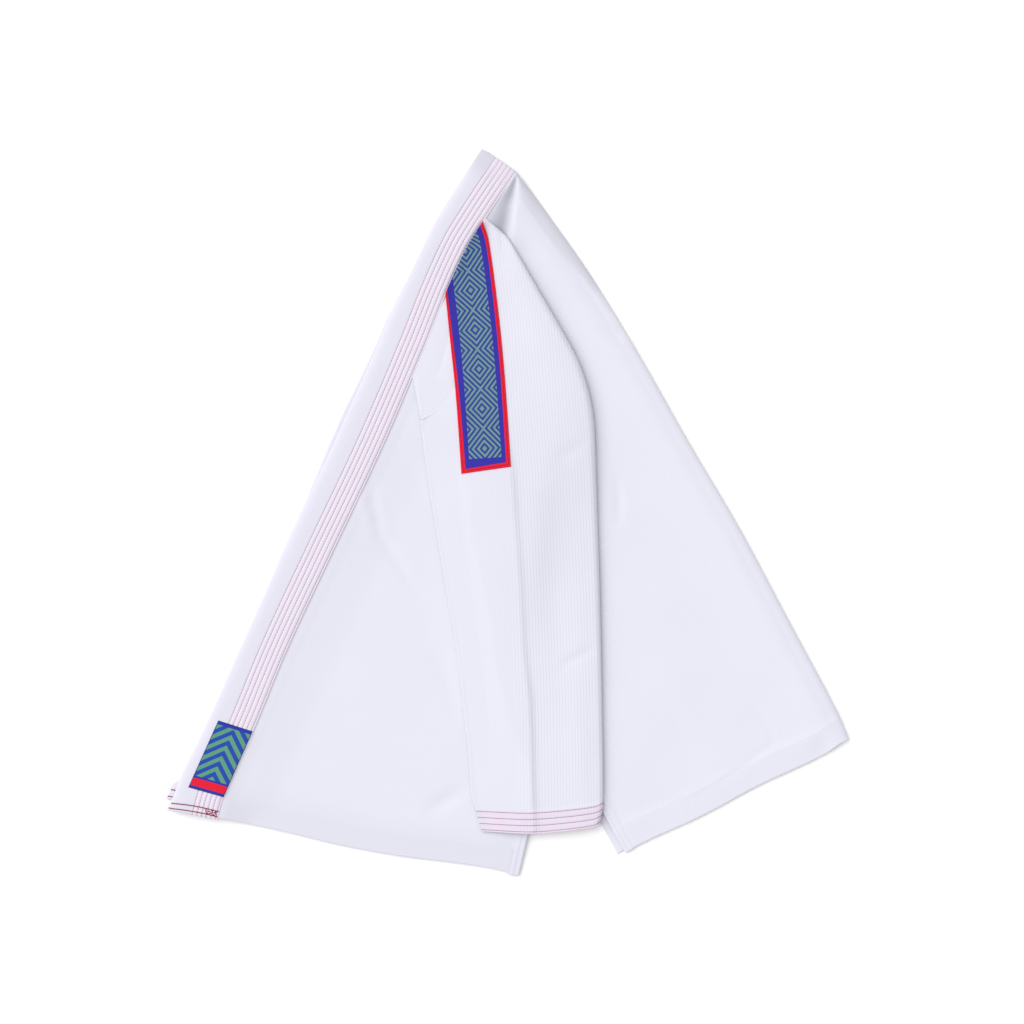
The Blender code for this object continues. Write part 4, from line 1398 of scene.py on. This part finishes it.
@dataclass
class Sleeve:
    """Near sleeve: a flattened tube, ridged down its length, open at the cuff."""

    length: float = 738.0
    armhole_share: float = 10 / 28  # share of its left side that is the armhole seam
    wall: float = 1.6
    loft: float = 2.3              # least height of its upper face over its underside
    ridge_step: float = 2.5        # how far the cloth steps down beyond the ridge
    edge_fall: float = 1.7         # how far it comes down towards its right edge
    cuff_width: float = 26.5       # of the turned cuff
    cuff_rows: tuple[float, ...] = (2.2, 9.5, 16.7, 24.0)
    creases: tuple[Crease, ...] = (
        Crease(((74.0, 110.0), (58.0, 30.0), (50.0, -40.0), (51.0, -100.0), (57.0, -160.0),
                (62.0, -225.0)), 1.3, 16.0),
        Crease(((52.0, 58.0), (66.0, 66.0), (94.3, 84.0)), 1.0, 7.0),
        Crease(((58.0, -178.0), (80.0, -166.0), (103.5, -155.3)), 1.3, 5.0),
        Crease(((72.0, -180.0), (80.0, -250.0), (84.0, -330.0)), -0.7, 13.0),
        Crease(((-54.0, -110.0), (-43.0, -190.0), (-36.0, -290.0)), 1.2, 9.0),
        Crease(((-30.0, -200.0), (-14.0, -270.0), (-8.0, -345.0)), 0.6, 10.0),
        Crease(((20.0, 250.0), (45.0, 170.0), (60.0, 90.0)), -0.6, 16.0),
    )

    def __post_init__(self) -> None:
        """Lay out the sleeve's plan."""
        left = Chain(Curve(ARMHOLE), Curve(SLEEVE_LEFT), self.armhole_share)
        top = beside_lapel(SLEEVE_FROM, SLEEVE_TO)
        self.panel = Patchwork(left, Curve(SLEEVE_RIGHT), top, Curve(CUFF))

    def section(self, along: np.ndarray, inset: float) -> np.ndarray:
        """Rings of points round the sleeve, or round its hollow.

        Args:
            along: Shares down the sleeve.
            inset: How far inside the cloth's outer face.

        Returns:
            Points as (ring, point, xyz): over the top from left to right, then back below.
        """
        edge = (0.0, 0.25, 0.8, 1.6, 2.6, 3.8, 5.2, 7.0)
        plan, across, down = self.panel.grid(along, edge, edge, 64)
        widths = self.panel.widths(along)[:, None]
        top, low = self.top(plan, across, down), self.low(plan)
        radius = np.maximum((top - low) / 2.0, 0.9)
        from_edge = np.minimum(across, 1.0 - across) * widths
        seamed = 1.0 - ease((down - self.armhole_share) / 0.03)
        left_reach = np.minimum(radius, 5.0) * (1.0 - seamed) + 1.3 * seamed
        reach = np.where(across < 0.5, left_reach, np.minimum(1.5 * radius, 7.5))
        share = np.clip(from_edge / reach, 0.0, 1.0)
        bulge = np.sqrt(np.clip(1.0 - (1.0 - share) ** 2, 0.0, 1.0))
        half = np.maximum(radius - inset, 0.25) * (0.04 + 0.96 * bulge)
        if inset:
            plan = plan.copy()
            squeeze = 1.0 - 2.0 * inset / np.maximum(widths, 4.0 * inset)
            centre = (plan[:, :1] + plan[:, -1:]) / 2.0
            plan = centre + (plan - centre) * squeeze[..., None]
        rest = 0.24 * ease((down - 0.03) / 0.05)
        middle = (top + low) / 2.0 - radius * 2.0 * rest * (1.0 - bulge)
        upper, lower = with_height(plan, middle + half), with_height(plan, middle - half)
        return np.concatenate((upper, lower[:, ::-1]), axis=1)

    def low(self, plan: np.ndarray) -> np.ndarray:
        """Underside of the sleeve, on the near front and back."""
        return bed_height(plan) + 2.0 * LAYER_GAP + WALL + 0.5

    def top(self, plan: np.ndarray, across: np.ndarray, down: np.ndarray) -> np.ndarray:
        """Height of the sleeve's upper face.

        Args:
            plan: Points, with x and y in the last axis.
            across: Shares from the left edge to the right one.
            down: Shares from the top down to the cuff.

        Returns:
            Heights above the floor.
        """
        left_z, ridge_z, right_z = look_up(SLEEVE_FORM, down)
        x, y = plan[..., 0], plan[..., 1]
        ridge_x = RIDGE.x_at(y)
        left_x = LEFT_OF_SLEEVE.x_at(y)
        right_x = RIGHT_OF_SLEEVE.x_at(y)
        sharp = ease((95.0 - y) / 60.0)
        left_share = np.clip((x - left_x) / np.maximum(ridge_x - left_x, 1.0), 0.0, 1.0)
        rise = left_z + (ridge_z - left_z) * (0.06 + 0.94 * np.sin(left_share * np.pi / 2.0) ** 1.1)
        beyond = np.maximum(x - ridge_x, 0.0)
        right_share = np.clip(beyond / np.maximum(right_x - ridge_x, 1.0), 0.0, 1.0)
        step = (self.ridge_step + 0.8 * ease((-150.0 - y) / 80.0)) * sharp
        step = step * (1.0 - np.exp(-((beyond / 3.6) ** 1.3)))
        fall = ridge_z - step - (ridge_z - step - right_z) * ease(right_share)
        fall = fall - self.edge_fall * np.clip(1.0 - (right_x - x) / 26.0, 0.0, 1.0) ** 1.6
        top = np.where(x < ridge_x, rise, fall)
        for crease in self.creases:
            top = top + crease.relief(plan)
        loose = ease(np.minimum(across, 1.0 - across) * 9.0)
        top = top + ripple(plan, 11, 0.35, 70.0) * loose
        from_cuff = (1.0 - down) * self.length
        top = top + 0.5 * (1.0 - ease((from_cuff - self.cuff_width) / 2.0))
        for at in self.cuff_rows:
            top = top + groove(from_cuff, at, 0.40, 0.9)
        from_left = across * self.panel.widths(down[:, 0])[:, None]
        pressed = self.low(plan) + self.loft + 0.13 * np.maximum(from_left - 5.0, 0.0)
        soft = ease((90.0 - plan[..., 1]) / 60.0)
        top = top + (np.minimum(top, pressed) - top) * soft
        return np.maximum(top, self.low(plan) + self.loft)

    def build(self) -> bpy.types.Object:
        """Build the tube of cloth.

        Returns:
            The piece.
        """
        along = spread(self.length, (0.0, 1.0), CUFF_STEPS, 200)
        outer = self.section(along, 0.0)
        inner = self.section(along[6:], self.wall)
        points = np.concatenate((outer.reshape(-1, 3), inner.reshape(-1, 3)))
        around = outer.shape[1]
        start = outer.shape[0] * around
        last_outer, last_inner = start - around, start + (inner.shape[0] - 1) * around
        index = np.arange(around)
        step = np.roll(index, -1)
        mouth = (index + last_outer, step + last_outer, step + last_inner, index + last_inner)
        faces = rings(outer).tolist() + rings(inner, start).tolist()
        faces += np.stack(mouth, axis=-1).tolist()
        faces += self.cap(0, around) + self.cap(start, around)
        marks = points[:, :2].copy()
        marks[:, 0] -= RIB.x_at(points[:, 1])
        from_cuff = np.concatenate([np.repeat((1.0 - shares) * self.length, around)
                                    for shares in (along, along[6:])])
        piece = add_piece("sleeve_cloth", points, faces, marks, SLEEVE_COTTON.make(),
                          ["sleeve"], from_cuff, self.shade(points))
        return piece

    def shade(self, points: np.ndarray) -> np.ndarray:
        """Painted shade on the loose cloth between the ridge and the right edge.

        Args:
            points: Points of the sleeve.

        Returns:
            Shares from 0 to 1.
        """
        x, y = points[:, 0], points[:, 1]
        middle = 56.0 + 0.22 * (y + 20.0)
        round_it = np.exp(-(((x - middle) / 26.0) ** 2) - ((y + 15.0) / 105.0) ** 2)
        return 0.206 * round_it * ease((x - RIDGE.x_at(y)) / 6.0)

    def cap(self, start: int, around: int) -> list[list[int]]:
        """Faces that close the first ring, from its top points to the ones below them.

        Args:
            start: Index of the ring's first point.
            around: Points in the ring.

        Returns:
            Four-cornered faces.
        """
        half = around // 2
        return [[start + k, start + k + 1, start + around - 2 - k, start + around - 1 - k]
                for k in range(half - 1)]

    def cuff_paths(self) -> list[np.ndarray]:
        """Closed paths of the stitch rows round the cuff."""
        return list(self.section(1.0 - np.array(self.cuff_rows) / self.length, -0.12))


@dataclass
class LapelBand:
    """Lapel and collar: near half on top, turned over at the neck, far half on the floor."""

    thickness: float = 6.8
    half_gap: float = 0.175
    far_end: float = 0.9895        # share of the near half's length that the far one reaches
    first_row: float = 2.9         # from the inner edge to the first row of quilting
    row_pitch: float = 5.45
    row_count: int = 6

    @property
    def middle(self) -> float:
        """Height of the fold's axis."""
        return self.thickness + self.half_gap

    @property
    def rows(self) -> np.ndarray:
        """Distances of the quilting rows from the inner edge."""
        return self.first_row + self.row_pitch * np.arange(self.row_count)

    def face(self, across: np.ndarray, width: np.ndarray,
             drop: np.ndarray | float = 2.4) -> np.ndarray:
        """Height of the outer face over the fold's axis.

        Args:
            across: Distances from the inner edge.
            width: The band's width there.
            drop: How far the face comes down to its outer edge.

        Returns:
            Heights, less in the stitched grooves and towards both edges.
        """
        high = self.half_gap + self.thickness - 0.45
        inner = np.clip(1.0 - across / 2.0, 0.0, 1.0)
        outer = np.clip(1.0 - (width - across) / 9.0, 0.0, 1.0)
        height = high - 1.6 * quarter_fall(inner)
        height = height - 1.3 * np.clip(1.0 - across / 9.0, 0.0, 1.0) ** 1.6
        height = height - drop * quarter_fall(outer)
        for row in self.rows:
            height = height + groove(across, row, 0.65, 0.8)
        quilted = ease((self.rows[-1] + 3.0 - across) / 3.0) * ease(across / 1.5)
        dome = np.sin(np.pi * np.clip((across - self.rows[-1]) / (width - self.rows[-1]), 0.0, 1.0))
        return height + 0.25 * quilted + 0.4 * dome

    def place(self, share: np.ndarray, turn: np.ndarray, across: np.ndarray,
              height: np.ndarray) -> np.ndarray:
        """Points of the band.

        Args:
            share: Shares of the lapel's length from the neck.
            turn: Angles that the section is turned over by, 0 on the near half.
            across: Distances from the inner edge.
            height: Heights over the fold's axis.

        Returns:
            Points in the jacket's frame.
        """
        out = -LAPEL.side(share)
        ahead = np.stack((out[..., 1], -out[..., 0]), axis=-1)
        roll = 0.86 * height * np.sin(turn)
        plan = LAPEL.at(share) + out * across[..., None] + ahead * roll[..., None]
        from_neck = share * LAPEL.length
        sink = 1.0 - 0.66 * np.exp(-((from_neck / 20.0) ** 2)) * (0.5 + 0.5 * np.cos(turn))
        skew = 4.6 * np.clip(across / 55.0, 0.0, 1.0) * ease((from_neck - LAPEL.length + 40.0) / 40.0)
        plan = plan - ahead * (skew * (turn < 1.0))[..., None]
        return with_height(plan, self.middle + height * np.cos(turn) * sink)

    def stations(self) -> tuple[np.ndarray, np.ndarray]:
        """Shares and turns of the rings, from the near end round the neck to the far end.

        Returns:
            A share and a turn for each ring.
        """
        near = spread(LAPEL.length, (0.0, 3.0), (0.0, 0.3, 0.8, 1.6, 3.0, 5.0), 270)
        turning = np.linspace(0.0, np.pi, 16)[1:-1]
        share = np.concatenate((near[::-1], np.zeros(len(turning)), near * self.far_end))
        turn = np.concatenate((np.zeros(len(near)), turning, np.full(len(near), np.pi)))
        return share, turn

    def width(self, share: np.ndarray, turn: np.ndarray) -> np.ndarray:
        """Width of the band, more where the far half shows past the near one."""
        width, shown = look_up(LAPEL_FORM, share)
        return width + shown * (turn > FAR_TURN)

    def outline(self, width: np.ndarray, close: np.ndarray,
                drop: np.ndarray) -> tuple[np.ndarray, np.ndarray]:
        """Section of the band as distances across and heights, for each ring.

        Args:
            width: Width of each ring.
            close: Share of full thickness of each ring, less at the band's ends.
            drop: How far the face of each ring comes down to its outer edge.

        Returns:
            Distances across and heights over the fold's axis.
        """
        steps = np.array((0.0, 0.15, 0.4, 0.8, 1.3))
        beside_row = np.array((-1.3, -0.75, -0.35, 0.0, 0.35, 0.75, 1.3, 2.7))
        rows = np.concatenate([row + beside_row for row in self.rows])
        fixed = np.concatenate((steps, rows[rows > 1.5]))
        rest = np.array((0.12, 0.25, 0.38, 0.51, 0.63, 0.73, 0.81, 0.87, 0.92, 0.955, 0.98, 0.994, 1.0))
        outer = np.concatenate((np.broadcast_to(fixed, (len(width), len(fixed))),
                                fixed[-1] + (width[:, None] - fixed[-1]) * rest), axis=1)
        face = self.face(outer, width[:, None], drop[:, None])
        back = np.array((0.999, 0.99, 0.97, 0.93, 0.75, 0.5, 0.25, 0.08, 0.02, 0.004))
        inner = width[:, None] * back
        low = self.half_gap + 1.5 * quarter_fall(np.clip(1.0 - inner / 1.6, 0.0, 1.0))
        low = low + 1.7 * quarter_fall(np.clip(1.0 - (width[:, None] - inner) / 3.5, 0.0, 1.0))
        across = np.concatenate((outer, inner), axis=1)
        height = np.concatenate((face, low), axis=1)
        centre = self.half_gap + self.thickness / 2.0
        return across, centre + (height - centre) * close[:, None]

    def build(self) -> bpy.types.Object:
        """Build the quilted band.

        Returns:
            The piece.
        """
        share, turn = self.stations()
        width = self.width(share, turn)
        from_end = (1.0 - np.where(turn > FAR_TURN, share / self.far_end, share)) * LAPEL.length
        drop = 2.4 - 1.2 * np.exp(-((share * LAPEL.length / 28.0) ** 2))
        across, height = self.outline(width, rounding(from_end, 2.0), drop)
        level = np.zeros_like(across)
        place = self.place(share[:, None] + level, turn[:, None] + level, across, height)
        sway = ripple(place[..., :2], 21, 0.16, 60.0) * (across > 34.0) * (turn < 0.1)[:, None]
        place[..., 2] += sway * ease((across - 34.0) / 6.0)
        points = place.reshape(-1, 3)
        around = place.shape[1]
        faces = rings(place).tolist()
        faces += [list(range(around)), list(range(len(points) - around, len(points)))]
        length = np.where(turn > FAR_TURN, -share, share) * LAPEL.length
        marks = np.stack((length[:, None] + level, across), axis=-1).reshape(-1, 2)
        # Painted shade on the collar where it bends round at the neck.
        neck_bend_shade = 0.31 * np.exp(-((share * LAPEL.length / 20.0) ** 2))
        piece = add_piece("lapel_cloth", points, faces, marks, LAPEL_COTTON.make(),
                          ["collar"], across, np.repeat(neck_bend_shade, around))
        return piece

    def row_paths(self) -> list[np.ndarray]:
        """Paths of the quilting rows, from the near end round the neck to the far end.

        Returns:
            One path for each row.
        """
        share, turn = self.stations()
        share, turn = share[3:-3], turn[3:-3]
        width = self.width(share, turn)
        paths = []
        for row in self.rows:
            across = np.full(len(share), row)
            proud = np.where(turn > FAR_TURN, -0.2, 0.12)
            paths.append(self.place(share, turn, across, self.face(across, width) + proud))
        return paths

    def end_paths(self) -> list[np.ndarray]:
        """Paths of the rows sewn across both ends, and of the tack at the near one's corner.

        Returns:
            The paths, the tack's zigzag last.
        """
        paths = []
        count = 40
        for from_end in (3.4, 9.6):
            for turn, end in ((0.0, 1.0), (np.pi, self.far_end)):
                share = np.array([end - from_end / LAPEL.length])
                width = self.width(share, np.array([turn]))[0]
                across, turns = np.linspace(2.5, width - 2.5, count), np.full(count, turn)
                bend = share - 1.4 * np.sin(np.pi * across / width) / LAPEL.length
                face = self.face(across, np.full(count, width)) + (0.3 if turn < 1.0 else -0.45)
                paths.append(self.place(bend, turns, across, face))
                if turn:
                    inner_face = np.full(count, self.half_gap - 0.1)
                    paths.append(self.place(bend, turns, across, inner_face))
        tack = np.arange(8)
        across = 3.0 + 1.9 * tack
        share = 1.0 - (3.6 + 5.8 * (tack % 2)) / LAPEL.length
        face = self.face(across, np.full(8, 55.0)) + 0.15
        paths.append(self.place(share, np.zeros(8), across, face))
        return paths


@dataclass
class SewnOn:
    """Thin badge whose points are those of what it lies on, moved out."""

    thickness: float = 1.0

    def drape(self, plan: np.ndarray, under: Sequence[bpy.types.Object], passes: int) -> np.ndarray:
        """Heights of the pieces below, smoothed as a stiff badge bridges them.

        Args:
            plan: Plan points of the badge.
            under: Pieces that it lies on.
            passes: How often the heights are smoothed.

        Returns:
            Heights that clear those pieces.
        """
        points, faces = [], []
        for piece in under:
            start = len(points)
            points += [v.co for v in piece.data.vertices]
            faces += [[start + i for i in face.vertices] for face in piece.data.polygons]
        tree = BVHTree.FromPolygons(points, faces)
        flat = []
        for x, y in plan.reshape(-1, 2):
            hit = tree.ray_cast(Vector((x * MM, y * MM, 0.1)), Vector((0.0, 0.0, -1.0)))[0]
            flat.append(hit.z / MM if hit else np.nan)
        found = np.array(flat).reshape(plan.shape[:-1])
        found = np.where(np.isnan(found), np.nanmean(found), found)
        smooth = found.copy()
        for _ in range(passes):
            wide = np.pad(smooth, 1, mode="edge")
            smooth = (wide[:-2, 1:-1] + wide[2:, 1:-1] + wide[1:-1, :-2] + wide[1:-1, 2:]) / 4.0
            smooth = np.maximum(smooth, found)
        return smooth


@dataclass
class ShoulderPatch(SewnOn):
    """Long badge over the armhole seam, its top cut off by the lapel."""

    length: float = 240.0
    under_lapel: float = -2.0      # its cut top runs in under the lapel's edge

    def build(self, under: Sequence[bpy.types.Object]) -> bpy.types.Object:
        """Build the badge on the shoulder and the sleeve.

        Args:
            under: Pieces that it lies on.

        Returns:
            The piece.
        """
        left, right = Curve(PATCH_LEFT), Curve(PATCH_RIGHT)
        top = Beside(LAPEL, self.under_lapel, LAPEL.share_at(PATCH_FROM), LAPEL.share_at(PATCH_TO))
        panel = Patchwork(left, right, top, straight(PATCH_LEFT[-1], PATCH_RIGHT[-1]))
        along = spread(self.length, (0.0, 1.0), PATCH_STEPS, 130)
        plan, across, down = panel.grid(along, PATCH_STEPS, PATCH_STEPS, 26)
        widths = panel.widths(along)[:, None]
        from_side = np.minimum(across, 1.0 - across) * widths
        from_foot = (1.0 - down) * self.length
        edge = np.minimum(from_side, from_foot)
        low = self.drape(plan, under, 60) + 0.15
        border = 0.45 * (1.0 - ease((edge - 4.4) / 1.0)) + groove(edge, 2.6, 0.4, 0.45)
        face = low + self.thickness * rounding(edge, 1.4) + border * ease(edge / 1.0)
        points, faces = shell(with_height(plan, face), with_height(plan, low))
        along_edge, away = right.locate(points[:, :2])
        marks = np.stack((-away, right.length - along_edge), axis=-1)
        piece = add_piece("shoulder_badge", points, faces, marks, PATCH_WEAVE.make(),
                          ["shoulder_patch"], np.concatenate((edge, edge)))
        return piece


@dataclass
class LapelLabel(SewnOn):
    """Woven label near the lapel's lower end."""

    thickness: float = 0.7
    width: float = 41.5
    length: float = 83.0
    design_length: float = 79.0    # its pattern is drawn a little short

    def build(self, under: Sequence[bpy.types.Object]) -> bpy.types.Object:
        """Build the label on the lapel.

        Args:
            under: Pieces that it lies on.

        Returns:
            The piece.
        """
        top_left, top_right, low_right, low_left = (np.array(p) for p in LABEL_CORNERS)
        panel = Patchwork(straight(top_left, low_left), straight(top_right, low_right),
                          straight(top_left, top_right), straight(low_left, low_right))
        steps = (0.0, 0.25, 0.6, 1.2)
        along = spread(self.length, steps, steps, 44)
        plan, across, down = panel.grid(along, steps, steps, 26)
        edge = np.minimum(np.minimum(across, 1.0 - across) * self.width,
                          np.minimum(down, 1.0 - down) * self.length)
        low = self.drape(plan, under, 40) + 0.12
        top = low + self.thickness * rounding(edge, 0.9)
        points, faces = shell(with_height(plan, top), with_height(plan, low))
        flat = np.stack((across * self.width, (1.0 - down) * self.design_length), axis=-1).reshape(-1, 2)
        marks = np.concatenate((flat, flat))
        piece = add_piece("lapel_badge", points, faces, marks, LABEL_WEAVE.make(),
                          ["lapel_label"], np.concatenate((edge, edge)))
        return piece


class Stitching:
    """Rows of stitches along paths, made by one node tree."""

    def __init__(self) -> None:
        """Build the tree: stitches along each path, made real and given their thread."""
        build, given, out = new_group(
            "stitch_rows", {"Geometry": "NodeSocketGeometry", "Pitch": 0.004, "Stitch": 0.003,
                            "Thread": 0.0004, "Material": "NodeSocketMaterial"},
            ["Geometry"], "GeometryNodeTree")
        curve = build.add("GeometryNodeMeshToCurve", {0: given.outputs["Geometry"]})
        points = build.add("GeometryNodeCurveToPoints", {"Curve": curve.outputs[0]}, mode="LENGTH")
        build.feed(points.inputs["Length"], given.outputs["Pitch"])
        stitch = build.add("GeometryNodeMeshUVSphere", {"Segments": 6, "Rings": 4, "Radius": 1.0})
        half = build.math("MULTIPLY", given.outputs["Stitch"], 0.5)
        thread = given.outputs["Thread"]
        scale = build.add("ShaderNodeCombineXYZ", {0: thread, 1: thread, 2: half})
        placed = build.add("GeometryNodeInstanceOnPoints", {
            "Points": points.outputs["Points"], "Instance": stitch.outputs["Mesh"],
            "Rotation": points.outputs["Rotation"], "Scale": scale.outputs[0]})
        real = build.add("GeometryNodeRealizeInstances", {0: placed.outputs[0]})
        smooth = build.add("GeometryNodeSetShadeSmooth", {0: real.outputs[0]})
        dressed = build.add("GeometryNodeSetMaterial", {
            0: smooth.outputs[0], "Material": given.outputs["Material"]})
        build.feed(out.inputs["Geometry"], dressed.outputs[0])
        self.tree = build.tree

    def sew(self, name: str, paths: Sequence[np.ndarray], thread: bpy.types.Material,
            pitch: float, stitch: float, radius: float, closed: bool = False) -> bpy.types.Object:
        """Sew stitches along paths.

        Args:
            name: Name of the piece.
            paths: Paths in millimetres.
            thread: Material of the thread.
            pitch: Distance from stitch to stitch.
            stitch: Length of a stitch.
            radius: Radius of the thread.
            closed: Whether each path returns to its start.

        Returns:
            One piece with all the stitches.
        """
        points, edges = [], []
        for path in paths:
            start = len(points)
            points += (path * MM).tolist()
            edges += [(start + k, start + k + 1) for k in range(len(path) - 1)]
            if closed:
                edges.append((start + len(path) - 1, start))
        mesh = bpy.data.meshes.new(name + "_path")
        mesh.from_pydata(points, edges, [])
        path_object = bpy.data.objects.new(name + "_path", mesh)
        bpy.context.scene.collection.objects.link(path_object)
        modifier = path_object.modifiers.new("stitches", "NODES")
        modifier.node_group = self.tree
        values = {"Pitch": pitch * MM, "Stitch": stitch * MM, "Thread": radius * MM, "Material": thread}
        for item in self.tree.interface.items_tree:
            if item.in_out == "INPUT" and item.name in values:
                modifier[item.identifier] = values[item.name]
        graph = bpy.context.evaluated_depsgraph_get()
        made = bpy.data.meshes.new_from_object(path_object.evaluated_get(graph))
        bpy.data.objects.remove(path_object, do_unlink=True)
        piece = bpy.data.objects.new(name, made)
        bpy.context.scene.collection.objects.link(piece)
        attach(piece, BODY)
        LOG.info("%s: %d faces", name, len(made.polygons))
        return piece


@dataclass
class Studio:
    """Plain white floor, soft light from the upper left and a camera straight above."""

    view_width: float = 1177.6     # of the floor, over the picture's 1024 pixels
    view_middle: float = 4.6       # x at the picture's middle
    camera_height: float = 6500.0
    sensor: float = 36.0
    floor_reach: float = 6.0       # metres each way
    floor_level: float = -0.0003   # metres, just under the jacket
    light_from: tuple[float, float, float] = (-0.55, 0.29, 0.783)
    light_width: float = 66.0      # degrees across
    light_strength: float = 2.19
    sky_strength: float = 0.735
    floor_glow: float = 0.02

    def build(self) -> None:
        """Set the scene."""
        self.floor()
        self.light()
        self.camera()
        bpy.context.scene.view_settings.view_transform = "Standard"

    def floor(self) -> None:
        """Large pale floor just under the jacket."""
        mesh = bpy.data.meshes.new("floor")
        corners = [(x * self.floor_reach, y * self.floor_reach, self.floor_level)
                   for x, y in ((-1, -1), (1, -1), (1, 1), (-1, 1))]
        mesh.from_pydata(corners, [], [(0, 1, 2, 3)])
        finish = bpy.data.materials.new("floor_white")
        finish.use_nodes = True
        shader = finish.node_tree.nodes["Principled BSDF"]
        shader.inputs["Base Color"].default_value = (0.93, 0.93, 0.93, 1.0)
        shader.inputs["Roughness"].default_value = 0.9
        shader.inputs["Specular IOR Level"].default_value = 0.1
        shader.inputs["Emission Color"].default_value = (1.0, 1.0, 1.0, 1.0)
        shader.inputs["Emission Strength"].default_value = self.floor_glow
        mesh.materials.append(finish)
        floor = bpy.data.objects.new("floor", mesh)
        bpy.context.scene.collection.objects.link(floor)

    def light(self) -> None:
        """One broad soft light, and an even sky."""
        lamp = bpy.data.lights.new("window", "SUN")
        lamp.energy = self.light_strength
        lamp.angle = math.radians(self.light_width)
        window = bpy.data.objects.new("window", lamp)
        window.rotation_euler = Vector(self.light_from).to_track_quat("Z", "Y").to_euler()
        bpy.context.scene.collection.objects.link(window)
        world = bpy.data.worlds.new("sky")
        world.use_nodes = True
        sky = world.node_tree.nodes["Background"]
        sky.inputs["Color"].default_value = (1.0, 1.0, 1.0, 1.0)
        sky.inputs["Strength"].default_value = self.sky_strength
        bpy.context.scene.world = world

    def camera(self) -> None:
        """Camera straight above, from so far that nothing leans."""
        data = bpy.data.cameras.new("camera")
        data.sensor_width = self.sensor
        data.lens = self.sensor * self.camera_height / self.view_width
        data.clip_end = 30.0
        camera = bpy.data.objects.new("camera", data)
        camera.location = (self.view_middle * MM, 0.0, self.camera_height * MM)
        bpy.context.scene.collection.objects.link(camera)
        bpy.context.scene.camera = camera


def main() -> None:
    """Dress the jacket and set the scene."""
    logging.basicConfig(level=logging.INFO, format="%(message)s")
    pearl_weave_group()
    cloth_tone_group()
    Studio().build()
    FarLayers().build()
    FrontPanel().build()
    BackPanel().build()
    shoulder = Shoulder().build()
    arm = Sleeve()
    sleeve = arm.build()
    band = LapelBand()
    lapel = band.build()
    ShoulderPatch().build([shoulder, sleeve])
    LapelLabel().build([lapel])
    stitching = Stitching()
    stitching.sew("lapel_stitches", band.row_paths(), LAPEL_THREAD.make(),
                  pitch=3.4, stitch=3.1, radius=0.30)
    stitching.sew("lapel_end_stitches", band.end_paths(), RED_THREAD.make(),
                  pitch=2.6, stitch=2.9, radius=0.75)
    stitching.sew("cuff_stitches", arm.cuff_paths(), CUFF_THREAD.make(),
                  pitch=2.7, stitch=2.7, radius=0.42, closed=True)
    bpy.context.view_layer.update()


if __name__ == "__main__":
    main()
